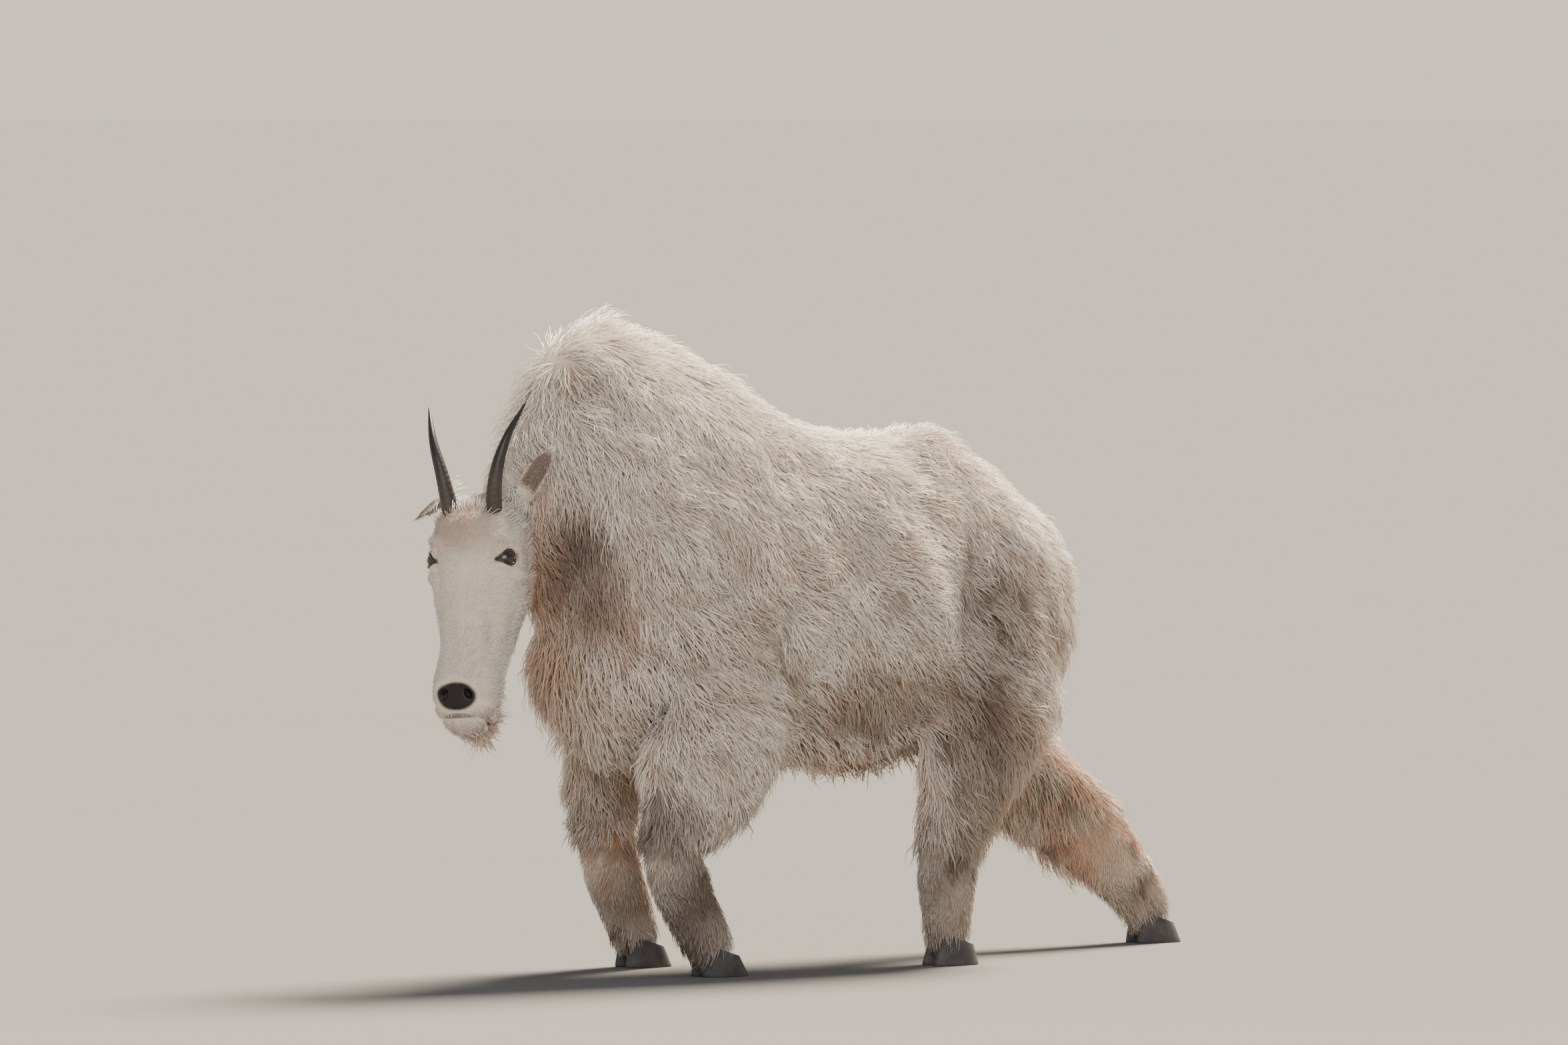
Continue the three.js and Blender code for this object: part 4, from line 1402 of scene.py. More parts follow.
class Region(Enum):
    """Regions of the coat, with how each grows."""

    MANE = Pelt(58.0, 2.5, 4.9, 0.50, 0.6, 0.36, 2)
    SHOULDER = Pelt(48.0, 2.4, 4.9, 0.50, 0.6, 0.36, 2)
    CHEST = Pelt(62.0, 2.8, 5.6, 0.52, 0.65, 0.34)
    FLANK = Pelt(42.0, 2.4, 4.9, 0.52, 0.6, 0.38, 2)
    RUMP = Pelt(42.0, 2.4, 4.9, 0.52, 0.6, 0.34, 2)
    THIGH = Pelt(46.0, 2.5, 5.0, 0.46, 0.65, 0.30, 2)
    FOREARM = Pelt(42.0, 2.4, 4.9, 0.46, 0.6, 0.30, 2)
    SHANK = Pelt(19.0, 1.9, 4.4, 0.36, 0.4, 0.14, 2)
    FACE = Pelt(10.0, 1.4, 3.1, 0.34, 0.3, 0.08, 1)
    CROWN = Pelt(26.0, 1.9, 3.8, 0.50, 0.5, 0.2, 2)
    CHEEK = Pelt(18.0, 1.7, 3.7, 0.38, 0.4, 0.12, 2)
    EAR = Pelt(10.0, 1.5, 3.2, 0.30, 0.2, 0.06, 1)
    BEARD = Pelt(47.0, 2.3, 2.5, 0.36, 0.5, 0.18)
    TAIL = Pelt(40.0, 2.6, 4.6, 0.14, 0.5, 0.2)

    def number(self) -> int:
        """The region's place among the regions."""
        return list(Region).index(self)


BARE = len(Region)               # the number that means skin with no coat


@dataclass(frozen=True)
class Borders:
    """Where the regions meet: heights and places along the goat, in its millimetres."""

    rump_from: float = 470.0
    shoulder_to: float = 110.0
    mane_to: float = 60.0
    mane_over: float = 800.0         # at the hump's middle, and higher behind it
    neck_to: float = -190.0
    chest_to: float = -60.0
    chest_under: float = 590.0
    belly_under: float = 400.0
    forearm_under: float = 380.0
    thigh_under: float = 420.0
    fore_shank_from: float = 0.55    # share of the way down the leg
    hind_shank_from: float = 0.56
    shank_under: float = 400.0
    leg_reach: float = 1.25          # from the leg's bone, where its outline is 1
    tail_from: float = 722.0
    tail_over: float = 540.0
    tail_half: float = 34.0
    head_reach: float = 1.12         # from the skull's axis, where its skin is 1
    beard_half: float = 33.0


@dataclass(frozen=True)
class Roots:
    """Where tufts grow: place, normal, flat-map place and region of each."""

    at: Points
    normal: Points
    flat: Points
    region: Points

    def picked(self, keep: Points) -> "Roots":
        """Only the roots that are kept."""
        return Roots(self.at[keep], self.normal[keep], self.flat[keep], self.region[keep])

    def parted(self, most: int) -> list["Roots"]:
        """Cuts the roots into even runs from front to back.

        Args:
            most: how many roots a run may have.

        Returns:
            The runs.
        """
        count = max(1, math.ceil(len(self.at) / most))
        order = np.argsort(self.at[:, 1], kind="stable")
        return [self.picked(part) for part in np.array_split(order, count)]


@dataclass
class Clumps:
    """The roots that tufts draw towards, one in each cell of the gap."""

    roots: Roots
    gap: float = 30.0
    tree: KDTree = field(init=False)

    def __post_init__(self) -> None:
        """Picks the middles and sorts them by place."""
        cell = np.floor((self.roots.at + FAR) / self.gap).astype(np.int64)
        _, first = np.unique((cell[:, 0] * 4096 + cell[:, 1]) * 4096 + cell[:, 2], return_index=True)
        self.tree = KDTree(len(first))
        for i in first:
            self.tree.insert(Vector(self.roots.at[i]), int(i))
        self.tree.balance()

    def middles(self, points: Points) -> Roots:
        """The root in the middle of the clump that each place belongs to."""
        return self.roots.picked(np.array([self.tree.find(Vector(p))[1] for p in points]))


@dataclass(frozen=True)
class Lay:
    """Which way the coat lies, as directions across, back and up.

    Those of the face, the lips and the jaw are in the head's frame.
    """

    body: tuple = (0.25, 0.62, -0.8)
    front: tuple = (0.0, 0.35, -0.95)
    crest: tuple = (0.0, 1.0, -0.1)
    leg: tuple = (0.0, 0.12, -1.0)
    face: tuple = (0.55, 0.75, 0.75)
    lips: tuple = (0.4, 0.55, -0.8)
    jaw: tuple = (0.0, 0.8, -0.45)
    beard: tuple = (-0.2, 0.7, -0.8)
    tail: tuple = (0.0, 0.05, -1.0)

    @staticmethod
    def apart(way: tuple, x: Points, share: Points | float) -> Points:
        """A direction whose part across points away from the middle on both sides."""
        return np.column_stack([way[0] * np.sign(x) * share, *(np.full(len(x), part) for part in way[1:])])


@dataclass(frozen=True)
class Tufts:
    """One piece of the coat while it grows: a row for each tuft."""

    name: str
    region: Region
    roots: Roots
    way: Points
    side: Points
    length: Points
    rise: Points


@dataclass(frozen=True)
class Coat:
    """The goat's coat: solid, tapered, bent tufts over all of the skin.

    The tufts are laid out in arrays, because an operator would take minutes over
    a hundred thousand of them.
    """

    skin: bpy.types.Object
    head: Head
    legs: tuple[Leg, ...]
    markings: Markings
    lay: Lay = Lay()
    borders: Borders = Borders()
    tries: float = 3.2               # roots tried for each one that is kept
    turn_spread: float = 0.16        # chance turn of a tuft to its side
    length_spread: float = 0.22      # chance change of length, from tuft to tuft
    length_patches: float = 0.25     # and from patch to patch
    rise_spread: float = 0.35        # the same for the rise
    rise_patches: float = 0.4
    belly_rise: float = 1.3          # how much more steeply the belly's tufts hang
    sag: float = 0.16                # how far a tip sinks, as a share of the length
    flatness: float = 0.26           # half a tuft's depth, where its half width is 0.5
    lowest: float = 5.0              # height over the floor that no hair goes under
    widest: float = 198.0            # reach to each side where hair starts to be held in
    hold: float = 12.0               # and how much further it may go
    chance: np.random.Generator = field(default_factory=lambda: np.random.default_rng(SEED))

    def build(self) -> list[bpy.types.Object]:
        """Grows every region.

        Returns:
            One object for each piece of the coat.
        """
        roots = self.scatter()
        clumps = Clumps(roots)
        made = []
        for region in Region:
            here = roots.picked(roots.region == region.number())
            parts = here.parted(PIECE_TRIANGLES // region.value.triangles())
            for number, part in enumerate(parts, 1):
                name = f"coat_{region.name.lower()}" + (f"_{number}" if len(parts) > 1 else "")
                made.append(self.grow(name, part, region, clumps))
        return made

    def scatter(self) -> Roots:
        """Spreads roots evenly over the skin, as close as each region asks.

        Returns:
            The roots of the whole coat.
        """
        mesh = self.skin.data
        mesh.calc_loop_triangles()
        count = len(mesh.loop_triangles)
        verts, loops = np.empty(count * 3, np.int32), np.empty(count * 3, np.int32)
        mesh.loop_triangles.foreach_get("vertices", verts)
        mesh.loop_triangles.foreach_get("loops", loops)
        verts, loops = verts.reshape(-1, 3), loops.reshape(-1, 3)
        flat = np.empty(len(mesh.loops) * 2)
        mesh.uv_layers[MAP].data.foreach_get("uv", flat)
        flat = flat.reshape(-1, 2)
        points, ways = corners(mesh), normals(mesh)
        a, b, c = (points[verts[:, i]] for i in range(3))
        area = 0.5 * np.linalg.norm(np.cross(b - a, c - a), axis=1)
        region = self.region_of((a + b + c) / 3)
        gap = np.array([r.value.gap for r in Region] + [1e6])[region]
        draws = np.floor(area / gap**2 * self.tries + self.chance.random(count)).astype(int)
        face = np.repeat(np.arange(count), draws)
        share = self.chance.random((len(face), 2))
        share[share.sum(axis=1) > 1] = 1 - share[share.sum(axis=1) > 1]
        weights = np.column_stack([1 - share.sum(axis=1), share])[:, :, None]
        at = (points[verts[face]] * weights).sum(axis=1)
        # one root is kept in each cell, which is as wide as the region's gap
        order = self.chance.permutation(len(face))
        cell = np.floor((at[order] + FAR) / (gap[face][order])[:, None]).astype(np.int64)
        code = ((cell[:, 0] * 8192 + cell[:, 1]) * 8192 + cell[:, 2]) * 16 + region[face][order]
        _, first = np.unique(code, return_index=True)
        kept = order[np.sort(first)]
        weights, face = weights[kept], face[kept]
        return Roots(at[kept], unit((ways[verts[face]] * weights).sum(axis=1)),
                     (flat[loops[face]] * weights).sum(axis=1), region[face])

    def region_of(self, points: Points) -> Points:
        """Which region each place belongs to; a later line here takes over from an earlier one.

        Args:
            points: places in the goat's millimetres.

        Returns:
            The region's number, or BARE.
        """
        x, y, z = points.T
        at = self.borders
        region = np.full(len(points), Region.FLANK.number())
        region[y > at.rump_from] = Region.RUMP.number()
        region[y < at.shoulder_to] = Region.SHOULDER.number()
        region[(y < at.mane_to) & (z > at.mane_over + 0.25 * (y + 160))] = Region.MANE.number()
        region[y < at.neck_to] = Region.MANE.number()
        region[(y < at.chest_to) & (z < at.chest_under)] = Region.CHEST.number()
        region[(y > at.shoulder_to) & (z < at.belly_under)] = Region.FLANK.number()
        fore = (Region.FOREARM, at.forearm_under, at.fore_shank_from)
        hind = (Region.THIGH, at.thigh_under, at.hind_shank_from)
        for leg in self.legs:
            share, near = leg.nearest(points)
            upper, top, knee = fore if leg.limb.is_fore() else hind
            region[(near < at.leg_reach) & (z < top)] = upper.number()
            region[(near < at.leg_reach) & (share > knee) & (z < at.shank_under)] = Region.SHANK.number()
        tail = (y > at.tail_from) & (z > at.tail_over) & (np.abs(x) < at.tail_half)
        region[tail] = Region.TAIL.number()
        self.head_regions(region, self.head.inward(points), z)
        return region

    def head_regions(self, region: Points, local: Points, z: Points) -> None:
        """Marks the regions of the head, the ears and what is bare.

        Args:
            region: numbers to change.
            local: the same places in the head's frame.
            z: their heights over the floor.
        """
        across, back, up = local.T
        full = self.head.fullness(local)
        on = (full < self.borders.head_reach) & (up < 70) & (z < 900)
        region[on] = Region.FACE.number()
        region[on & (back > 92 + 0.15 * up)] = Region.CHEEK.number()
        region[on & (up > -22 - 0.25 * back)] = Region.CROWN.number()
        chin = (up < -300) & (back > 54)
        jaw = (up < -225) & (back > 84)
        region[on & (chin | jaw) & (np.abs(across) < self.borders.beard_half)] = Region.BEARD.number()
        for side in SIDES:
            start, along, _, _ = self.head.ear_frame(side)
            away = local - start
            reach = away @ along
            off = np.linalg.norm(away - reach[:, None] * along, axis=1)
            ring = (reach > 8) & (reach < 112) & (off >= 30) & (off < 46) & (full > 1.1)
            region[(reach > 2) & (reach < 100) & (off < 30) & (full > 1.0)] = Region.EAR.number()
            region[ring] = Region.CHEEK.number()
        region[self.bare(local)] = BARE

    def bare(self, local: Points) -> Points:
        """Where nothing grows: nose pad, lips, eyes and under the horns.

        Args:
            local: places in the head's frame.

        Returns:
            True where it is bare.
        """
        head = self.head
        hidden = (reach_from(local, *head.nose_clear) < 1) | (reach_from(local, *head.lip_clear) < 1)
        for side in SIDES:
            away = local - on_side(head.eye_at, side)
            hidden |= reach_from(away + (0, 2, 1), (0, 0, 0), head.eye_clear) < 1
            horn = on_side(head.horn_path[0], side)
            hidden |= (np.linalg.norm((local - horn)[:, :2], axis=1) < 13) & (local[:, 2] > 0)
        return hidden

    def lie(self, roots: Roots) -> Points:
        """The way that the coat lies at each root, along the skin.

        Args:
            roots: where tufts grow.

        Returns:
            A vector of length one for each root.
        """
        at, out, lay = roots.at, roots.normal, self.lay
        x, y, z = at.T
        local, spin = self.head.inward(at), self.head.matrix()
        across, back, up = local.T
        way = lay.apart(lay.body, x, ramp(np.abs(x), 0, 60))
        fields = ((ramp(y, -60, -200), lay.front),
                  (ramp(out[:, 2], 0.5, 0.9) * ramp(y, 200, -40), lay.crest),
                  (ramp(z, 400, 300), lay.leg))
        for share, other in fields:
            way = way * (1 - share[:, None]) + share[:, None] * np.array(other)
        on = np.isin(roots.region, [r.number() for r in (Region.FACE, Region.CHEEK, Region.CROWN)])
        beard, ears = roots.region == Region.BEARD.number(), roots.region == Region.EAR.number()
        way[on] = (lay.apart(lay.face, across, ramp(np.abs(across), 4, 50)) @ spin.T)[on]
        mouth = on & (up < -314) & (back < 60)
        way[mouth] = (lay.apart(lay.lips, across, 1.0) @ spin.T)[mouth]
        way[on & (back > 96)] = np.array(lay.jaw) @ spin.T
        way[beard] = lay.beard
        way[roots.region == Region.TAIL.number()] = lay.tail
        for side in SIDES:
            way[ears & (np.sign(across) == side)] = self.head.ear_frame(side)[1] @ spin.T
        loose = np.where(on | ears | beard, 0.3, 1.0)[:, None]
        way = way + loose * (0.35 * wander(at, 95.0, 1) + 0.62 * wander(at, 34.0, 2))
        return unit(way - out * (way * out).sum(axis=1, keepdims=True))

    def grow(self, name: str, roots: Roots, region: Region, clumps: Clumps) -> bpy.types.Object:
        """Makes one piece of the coat and dresses it.

        Args:
            name: the piece's name.
            roots: where its tufts grow.
            region: the region that they belong to.
            clumps: what they draw towards.

        Returns:
            The piece's object.
        """
        pelt, rng, count = region.value, self.chance, len(roots.at)
        way = self.lie(roots)
        way = unit(way + np.cross(roots.normal, way) * rng.normal(0, self.turn_spread, count)[:, None])
        length = pelt.length * (1 + self.length_spread * rng.standard_normal(count).clip(-2, 2))
        length = length * (1 + self.length_patches * wander(roots.at, 55.0, 4)[:, 0])
        steeper = self.rise_spread * rng.standard_normal(count).clip(-1.8, 1.8)
        rise = pelt.rise * (1 + steeper + self.rise_patches * wander(roots.at, 45.0, 6)[:, 1])
        under = ramp(-roots.normal[:, 2], 0.45, 0.9) * ramp(roots.at[:, 1], -60, 60)
        tufts = Tufts(name, region, roots, way, np.cross(roots.normal, way),
                      length * self.trimmed(region, roots), rise * (1 + self.belly_rise * under))
        lines = self.lines(tufts)
        self.draw_together(lines, tufts, clumps)
        return self.wrap(lines, tufts)

    def trimmed(self, region: Region, roots: Roots) -> Points | float:
        """What share of its region's length the coat has.

        Args:
            region: the region.
            roots: where its tufts grow.

        Returns:
            A share for each root, or one for all.
        """
        local = self.head.inward(roots.at)
        if region in (Region.MANE, Region.SHOULDER):
            return 0.5 + 0.5 * ramp(reach_from(local, (0, 80, -10), (1, 1, 1)), 100, 190)
        if region is Region.SHANK:
            return 1 + 0.6 * ramp(roots.at[:, 2], 95, 50)
        if region is Region.BEARD:
            down = 0.55 + 0.45 * ramp(local[:, 2], -232, -300)
            return down * (1 - 0.4 * ramp(np.abs(local[:, 0]), 10, 30))
        return 1.0

    def lines(self, tufts: Tufts) -> Points:
        """Draws the middle line of each tuft, which rises, curls to a side and sags.

        Args:
            tufts: the tufts.

        Returns:
            For each tuft, a point at each of its steps.
        """
        pelt, roots, count = tufts.region.value, tufts.roots, len(tufts.length)
        phase = self.chance.random(count)[:, None] * 2 - 1
        sink = 2.5 + 0.02 * pelt.length
        centre = np.empty((count, len(pelt.steps()), 3))
        for i, t in enumerate(pelt.steps()):
            run = (tufts.way * t * (1 - 0.1 * t)
                   + roots.normal * (tufts.rise * t * (1 - 0.5 * t))[:, None]
                   + tufts.side * pelt.curl * phase * math.sin(2.6 * t) * t
                   + np.array([0, 0, -self.sag]) * t * t)
            centre[:, i] = roots.at - roots.normal * sink * (1 - t) ** 2 + tufts.length[:, None] * run
            if i > 0:
                loose = self.chance.normal(0, 0.16 * pelt.curl * t, (count, 2)).clip(-0.2, 0.2)
                loose = loose * tufts.length[:, None]
                centre[:, i] += tufts.side * loose[:, :1] + roots.normal * np.abs(loose[:, 1:])
        return centre

    @staticmethod
    def draw_together(centre: Points, tufts: Tufts, clumps: Clumps) -> None:
        """Bends each tuft's tip towards the tip of its clump's middle.

        Args:
            centre: the tufts' middle lines, which are changed.
            tufts: the tufts.
            clumps: what they draw towards.
        """
        pelt, way = tufts.region.value, tufts.way
        middles = clumps.middles(tufts.roots.at)
        target = middles.at + pelt.length * (way * 0.95 + middles.normal * pelt.rise * 0.5)
        offset = target - centre[:, -1]
        offset -= way * (offset * way).sum(axis=1, keepdims=True) * 0.7
        size = np.maximum(np.linalg.norm(offset, axis=1, keepdims=True), 1e-6)
        offset *= np.minimum(1, 0.45 * tufts.length[:, None] / size)
        for i, t in enumerate(pelt.steps()):
            centre[:, i] += offset * pelt.clump * t**1.6

    def wrap(self, centre: Points, tufts: Tufts) -> bpy.types.Object:
        """Wraps three-cornered rings round each tuft's middle line and closes its ends.

        Args:
            centre: the tufts' middle lines.
            tufts: the tufts.

        Returns:
            The piece's object.
        """
        pelt, count = tufts.region.value, len(centre)
        verts = self.ringed(centre, tufts)
        faces, flats = self.pattern(pelt)
        index = (faces[None] + (np.arange(count) * pelt.corners())[:, None, None]).reshape(-1, 3)
        mesh = bpy.data.meshes.new(tufts.name)
        mesh.vertices.add(count * pelt.corners())
        mesh.vertices.foreach_set("co", to_frame(verts.reshape(-1, 3)).ravel())
        mesh.loops.add(index.size)
        mesh.loops.foreach_set("vertex_index", index.ravel().astype(np.int32))
        mesh.polygons.add(len(index))
        mesh.polygons.foreach_set("loop_start", np.arange(0, index.size, 3, dtype=np.int32))
        smooth_shaded(mesh)
        mesh.update(calc_edges=True)
        flat = tufts.roots.flat[:, None, None, :] + (flats[None] - 0.5) * 0.003
        mesh.uv_layers.new(name=MAP).data.foreach_set("uv", flat.ravel())
        self.mark(mesh, tufts)
        own = tufts.region in (Region.FACE, Region.CHEEK, Region.EAR, Region.CROWN)
        mesh.materials.append((FACE_HAIR if own else GOAT_WOOL).material())
        return placed(tufts.name, mesh)

    def ringed(self, centre: Points, tufts: Tufts) -> Points:
        """Places the corners of each tuft: its root, its rings and its tip.

        Args:
            centre: the tufts' middle lines.
            tufts: the tufts.

        Returns:
            The corners of each tuft.
        """
        pelt, count = tufts.region.value, len(centre)
        run = unit(centre[:, 1:] - centre[:, :-1])
        width = pelt.width * (1 + 0.25 * self.chance.standard_normal(count).clip(-1.5, 1.5))
        verts = np.empty((count, pelt.corners(), 3))
        verts[:, 0], verts[:, -1] = centre[:, 0], centre[:, -1]
        for ring, swell in enumerate(RING_WIDTHS[pelt.rings]):
            along = unit(run[:, ring] + run[:, ring + 1])
            across = unit(tufts.side - along * (tufts.side * along).sum(axis=1, keepdims=True))
            up = np.cross(across, along)
            for corner in range(RING_CORNERS):
                angle = 2 * math.pi * corner / RING_CORNERS + 0.5
                verts[:, 1 + RING_CORNERS * ring + corner] = centre[:, ring + 1] + swell * width[:, None] * (
                    across * math.cos(angle) * 0.5 + up * math.sin(angle) * self.flatness)
        np.maximum(verts[:, :, 2], self.lowest, out=verts[:, :, 2])
        beyond = np.maximum(np.abs(verts[:, :, 0]) - self.widest, 0)
        verts[:, :, 0] -= np.sign(verts[:, :, 0]) * (beyond - self.hold * np.tanh(beyond / self.hold))
        return verts

    def mark(self, mesh: bpy.types.Mesh, tufts: Tufts) -> None:
        """Writes the numbers that the wool's material reads.

        Args:
            mesh: the piece's mesh.
            tufts: its tufts.
        """
        pelt, at = tufts.region.value, tufts.roots.at
        along = np.concatenate([[0.0], np.repeat(pelt.steps()[1:-1], RING_CORNERS), [1.0]])
        write_value(mesh, "along", np.tile(along, len(at)))
        clumped = 0.5 + 0.5 * wander(at, 26.0, 9)[:, 2]
        # dirt, with painted shade in the neck's hollow
        dirt = self.markings.dirt_share(at)
        # the ears' tufts are darkened by the painted shade of the ears' cups
        if tufts.region is Region.EAR:
            dirt = np.maximum(dirt, 0.75 * self.head.ear_cup_shade(self.head.inward(at)))
        values = (("tone", 0.55 * self.chance.random(len(at)) + 0.45 * clumped),
                  ("tan", self.markings.tan_share(at)), ("dirt", dirt))
        for name, value in values:
            write_value(mesh, name, np.repeat(value, pelt.corners()))

    @staticmethod
    def pattern(pelt: Pelt) -> tuple[Points, Points]:
        """How the corners of one tuft are joined.

        Args:
            pelt: how the tuft grows.

        Returns:
            Its faces, and where their corners lie on its little square of the map.
        """
        steps, last = pelt.steps(), pelt.corners() - 1
        faces, flats = [], []
        for k in range(RING_CORNERS):
            a, b = k, (k + 1) % RING_CORNERS
            left, right = k / RING_CORNERS, (k + 1) / RING_CORNERS
            faces.append((0, 1 + b, 1 + a))
            flats.append(((0.5 * (left + right), 0.0), (right, steps[1]), (left, steps[1])))
            for ring in range(pelt.rings - 1):
                low, high = 1 + RING_CORNERS * ring, 1 + RING_CORNERS * (ring + 1)
                s, e = steps[ring + 1], steps[ring + 2]
                faces += [(low + a, low + b, high + b), (low + a, high + b, high + a)]
                flats += [((left, s), (right, s), (right, e)), ((left, s), (right, e), (left, e))]
            top = last - RING_CORNERS
            faces.append((top + a, top + b, last))
            flats.append(((left, steps[-2]), (right, steps[-2]), (0.5 * (left + right), 1.0)))
        return np.array(faces), np.array(flats)


# Hard parts


@dataclass(frozen=True)
class Horn:
    """A slender horn, ringed towards its base, curving out and back to a point."""

    head: Head
    side: int
    ring_gap: float = 8.5
    ring_height: float = 0.05        # as a share of the radius
    oval: float = 0.92               # width, as a share of the depth
    taper: float = 0.72              # 1 gives a straight cone, less a fuller one

    def point(self, share: Points, angle: Points) -> Points:
        """Points of the horn's sheath.

        Args:
            share: places from the root to the tip, 0 to 1.
            angle: places round it.

        Returns:
            A point for each place, in the goat's frame.
        """
        path = on_side((self.head.horn_root, *self.head.horn_path[1:]), self.side)
        span = np.linalg.norm(np.diff(path, axis=0), axis=1).sum()
        middle = through(path, share)
        along = unit(through(path, np.minimum(share + STEP, 1)) - through(path, np.maximum(share - STEP, 0)))
        out = unit(LEFTWARD - along * along[:, :1])
        back = np.cross(along, out)
        wave = np.abs(np.sin(math.pi * share * span / self.ring_gap)) ** 0.6
        ringing = 1 + self.ring_height * np.clip(1 - 1.6 * share, 0, 1) * (wave - 0.5) * 2
        radius = self.head.horn_radius * (1 - share) ** self.taper * ringing * np.minimum(1, share * 30)
        return self.head.outward(middle + out * (radius * self.oval * np.cos(angle))[:, None]
                                 + back * (radius * np.sin(angle))[:, None])

    def build(self) -> bpy.types.Object:
        """Draws the horn from under the hair to its tip, and dresses it.

        Returns:
            The horn's object.
        """
        name = "horn_left" if self.side > 0 else "horn_right"
        piece = mesh_object(f"{name}_keratin", [moulded(28, 130, self.point)])
        write_value(piece.data, "along", ramp(self.head.inward(corners(piece.data))[:, 2], -10, 150))
        smooth_shaded(piece.data)
        piece.data.materials.append(HornKeratin("horn_keratin").material())
        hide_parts(name)
        return piece


@dataclass(frozen=True)
class Eye:
    """An eyeball with the low bulge of its cornea, and the margin of the lids round it."""

    head: Head
    side: int
    bulge: float = 0.05              # of the cornea, as a share of the radius
    margin: float = 2.9              # half the lid margin's thickness
    iris: float = 10.0               # radius of the iris
    pupil: tuple = (6.2, 2.6)        # half the pupil's length and height

    def ball_point(self, share: Points, angle: Points) -> Points:
        """Points of the ball.

        Args:
            share: places from the cornea to the back, 0 to 1.
            angle: places round it.

        Returns:
            A point for each place, in the goat's frame.
        """
        gaze, level, up = self.head.eye_axes(self.side)
        radius = self.head.eye_radius * (1 + self.bulge * ramp(share, 0.26, 0.0))
        away = ball(share, angle) @ np.array([level, up, gaze])
        return self.head.outward(on_side(self.head.eye_at, self.side) + away * radius[:, None])

    def lid_point(self, turn: Points, angle: Points) -> Points:
        """Points of the lids' margin, which lies on the ball round the opening.

        Args:
            turn: angles along the margin.
            angle: places round its section.

        Returns:
            A point for each place, in the goat's frame.
        """
        head = self.head
        gaze, level, up = head.eye_axes(self.side)
        flat = (level * (head.lid_half * squared(np.cos(turn), head.lid_power))[:, None]
                + up * (head.lid_high * squared(np.sin(turn), head.lid_power))[:, None])
        front = np.sqrt(np.clip(head.eye_radius**2 - (flat**2).sum(axis=1), 1, None))
        way = unit(flat + front[:, None] * gaze)
        edge = unit(flat - way * (flat * way).sum(axis=1)[:, None])
        thick = (self.margin - 0.7 * np.abs(np.cos(turn)))[:, None]
        return head.outward(on_side(head.eye_at, self.side) + way * (head.eye_radius + 0.6) + thick * (
            way * np.cos(angle)[:, None] + edge * np.sin(angle)[:, None]))

    def build(self) -> bpy.types.Object:
        """Draws the ball and the margin, and says where iris and pupil are.

        Returns:
            The eye's object.
        """
        name = "eye_left" if self.side > 0 else "eye_right"
        forms = [moulded(48, 48, self.ball_point), looped(72, 12, self.lid_point)]
        piece = mesh_object(f"{name}_ball", forms)
        gaze, level, up = self.head.eye_axes(self.side)
        away = self.head.inward(corners(piece.data)) - on_side(self.head.eye_at, self.side)
        front = away @ gaze > 0
        iris = np.hypot(away @ level, away @ up) - self.iris
        slot = np.hypot((away @ level) / self.pupil[0], (away @ up) / self.pupil[1])
        write_value(piece.data, "iris", ramp(iris, 0.6, -0.6) * front)
        write_value(piece.data, "pupil", ramp(slot, 1.1, 0.9) * front)
        smooth_shaded(piece.data)
        piece.data.materials.append(WetEye("wet_eye").material())
        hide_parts(name)
        return piece


@dataclass(frozen=True)
class Hoof:
    """A cloven hoof: two pointed toes with a cleft between them, flat on the floor."""

    limb: Limb
    lean: float                      # how far back the coronet sits, for each millimetre up
    out: float = 120.0
    length: float = 84.0
    width: float = 70.0
    height: float = 50.0
    toe_share: float = 0.245         # half a toe's width, as a share of the hoof's

    def toe_point(self, inner: int, share: Points, angle: Points) -> Points:
        """Points of one toe, its inner wall almost straight and its outer wall curved.

        Args:
            inner: 1 for the toe further to the left, -1 for the other.
            share: places from the coronet to the sole, 0 to 1.
            angle: places round it.

        Returns:
            A point for each place.
        """
        middle = self.limb.side * self.out + inner * self.width * self.toe_share
        level = np.where(np.sin(math.pi * share) > 1e-3, 1.0, 0.0)
        high = np.clip((0.86 - share) / 0.70, 0, 1)
        run = squared(np.sin(angle), 2.2) * level
        lift = self.height * high * (0.82 - 0.20 * run)
        ahead = np.clip(-run, 0, 1)
        wide = self.width * self.toe_share * (1 - 0.2 * high) * (1 - 0.36 * ahead**2.4)
        wide = np.where(np.cos(angle) * inner < 0, wide * 0.84, wide)
        half = self.length / 2 * (1 - 0.05 * ramp(share, 0.80, 0.88)) - 0.34 * lift
        return np.column_stack([
            middle + level * wide * squared(np.cos(angle), 2.5) - inner * 2.5 * ahead,
            self.limb.hoof_y + self.lean * lift + half * run, lift])

    def build(self) -> bpy.types.Object:
        """Draws both toes as one piece, and dresses it.

        Returns:
            The hoof's object.
        """
        name = f"hoof_{self.limb.label}"
        toes = [moulded(36, 30, partial(self.toe_point, inner)) for inner in SIDES]
        piece = mesh_object(f"{name}_keratin", toes)
        smooth_shaded(piece.data)
        piece.data.materials.append(HoofKeratin("hoof_keratin").material())
        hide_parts(name)
        return piece


# Studio


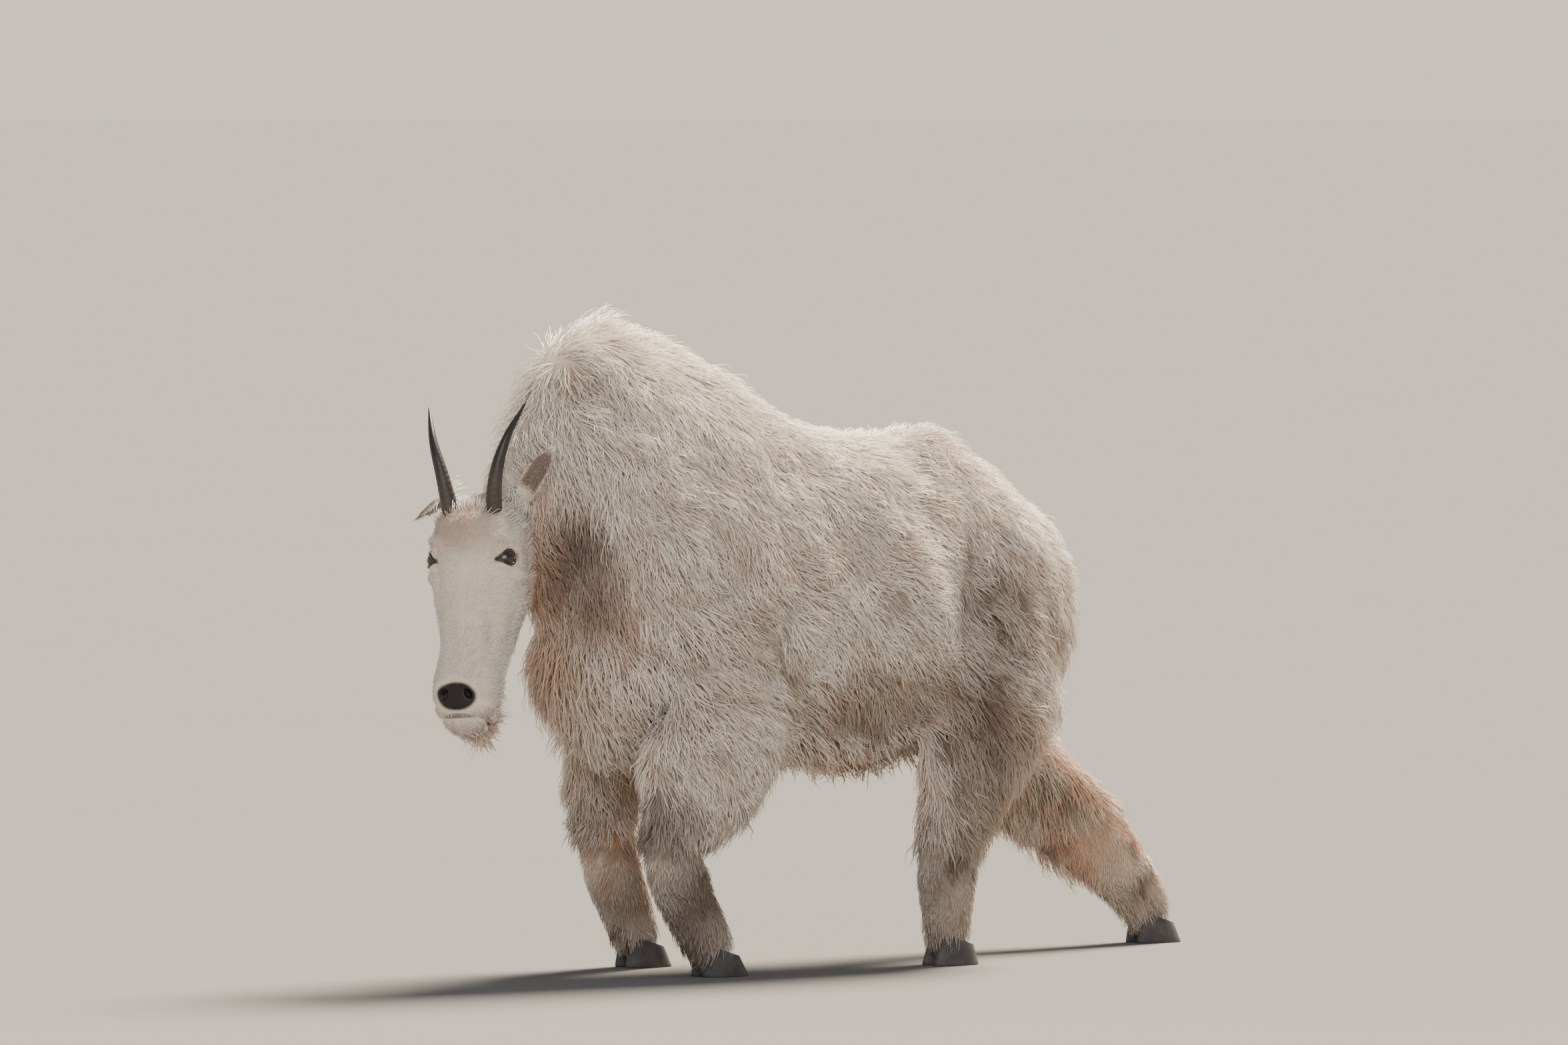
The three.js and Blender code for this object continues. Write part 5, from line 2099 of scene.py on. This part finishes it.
@dataclass(frozen=True)
class Studio:
    """A plain pale floor, soft light and the camera at the photograph's angle."""

    azimuth: float = 55.0
    elevation: float = 2.0
    distance: float = 20.0
    photo_width: float = 21.17       # metres across the photograph's own frame at the goat
    drawn_in: float = 8.6            # 1 gives the photograph's own frame
    goat_at: tuple = (0.523, 0.603)  # the goat's middle in the photograph, from its upper left
    aspect: float = 2352 / 1568
    film: float = 36.0               # millimetres, as in a common camera
    floor_radius: float = 400.0      # metres, so that it runs past every view
    farthest: float = 900.0
    sun_from: tuple = (-0.28, 0.72, 0.95)
    sun_power: float = 23.5
    sun_width: float = 24.0          # degrees, for soft edges
    sun_colour: str = "#fff3e0"
    fill_at: tuple = (4.4, -3.4, 2.4)
    fill_size: float = 3.4
    fill_power: float = 165.0
    fill_colour: str = "#fbf8fa"
    air_low: str = "#f6ead7"
    air_high: str = "#a9aeb4"
    air_band: tuple = (0.06, 0.3)    # heights between which the air's colour changes
    air_power: float = 1.115

    def floor(self) -> None:
        """Lays the floor, which isn't part of the goat."""
        ground = bmesh.new()
        bmesh.ops.create_circle(ground, cap_ends=True, segments=96, radius=self.floor_radius)
        mesh = bpy.data.meshes.new("studio_floor")
        ground.to_mesh(mesh)
        ground.free()
        mesh.materials.append(StudioFloor("painted_floor").material())
        placed("studio_floor", mesh)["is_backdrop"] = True

    def light(self) -> None:
        """Sets high light from behind the goat's right, and soft fill from its left."""
        sun = bpy.data.lights.new("key", "SUN")
        sun.energy, sun.angle = self.sun_power, math.radians(self.sun_width)
        sun.color = linear(self.sun_colour)[:3]
        placed("key", sun).rotation_euler = Vector(self.sun_from).to_track_quat("Z", "Y").to_euler()
        fill = bpy.data.lights.new("fill", "AREA")
        fill.shape, fill.size, fill.energy = "SQUARE", self.fill_size, self.fill_power
        fill.color = linear(self.fill_colour)[:3]
        lamp = placed("fill", fill)
        lamp.location = Vector(self.fill_at)
        lamp.rotation_euler = (Vector((0, 0, 0.5)) - lamp.location).to_track_quat("-Z", "Y").to_euler()

    def air(self) -> None:
        """Fills the scene with even light, warmer near the floor."""
        world = bpy.data.worlds.new("studio_air")
        world.use_nodes = True
        tree = world.node_tree
        tree.nodes.clear()
        place = add(tree, "TexCoord", output="Generated")
        height = add(tree, "SeparateXYZ", None, {0: place}, "Z")
        high = add(tree, "MapRange", None, {0: height, 1: self.air_band[0], 2: self.air_band[1]})
        glow = add(tree, "Mix", COLOURS, {
            SHARE: high, UNDER: linear(self.air_low), OVER: linear(self.air_high)}, MIXED)
        air = add(tree, "Background", None, {"Color": glow, "Strength": self.air_power})
        add(tree, "OutputWorld", None, {"Surface": air})
        bpy.context.scene.world = world

    def camera(self, middle: Vector) -> None:
        """Looks from the photograph's angle, with the goat at its place in the frame.

        Args:
            middle: the goat's middle, in the frame's metres.
        """
        a, e = math.radians(self.azimuth), math.radians(self.elevation)
        back = Vector((math.sin(a) * math.cos(e), -math.cos(a) * math.cos(e), math.sin(e)))
        right = Vector((math.cos(a), math.sin(a), 0))
        width = self.photo_width / self.drawn_in
        shift_right, shift_down = self.goat_at[0] - 0.5, (self.goat_at[1] - 0.5) / self.aspect
        target = middle - right * shift_right * width + back.cross(right) * shift_down * width
        data = bpy.data.cameras.new("camera")
        data.sensor_width = self.film
        data.lens = self.film * self.distance / width
        data.clip_end = self.farthest
        camera = placed("camera", data)
        camera.rotation_mode = "QUATERNION"
        camera.location = target + back * self.distance
        camera.rotation_quaternion = (-back).to_track_quat("-Z", "Y")
        bpy.context.scene.camera = camera


FLESH = (
    "torso", "neck", "head", "nose", "tail", "ear_left", "ear_right",
    *(f"leg_{limb.label}_{part}" for limb in Limb for part in ("upper", "lower")),
)


def main() -> None:
    """Builds the goat and its studio."""
    logging.basicConfig(level=logging.INFO, format="%(message)s")
    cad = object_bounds()
    markings, head = Markings(), Head()
    hide = Skin(Trunk(), LEGS, Tail(), head, markings).build()
    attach(hide, "root")
    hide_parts(*FLESH)
    LOG.info("%s: %d faces", hide.name, len(hide.data.polygons))
    hard = [Horn(head, side).build() for side in SIDES]
    hard += [Eye(head, side).build() for side in SIDES]
    hard += [Hoof(leg.limb, leg.lean()).build() for leg in LEGS]
    for piece in hard:
        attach(piece, "root")
        LOG.info("%s: %d faces", piece.name, len(piece.data.polygons))
    total = 0
    for piece in Coat(hide, head, LEGS, markings).build():
        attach(piece, "root")
        total += len(piece.data.polygons)
        LOG.info("%s: %d faces", piece.name, len(piece.data.polygons))
    LOG.info("coat in all: %d faces", total)
    studio = Studio()
    studio.floor()
    studio.light()
    studio.air()
    studio.camera((cad[0] + cad[1]) / 2)


if __name__ == "__main__":
    main()
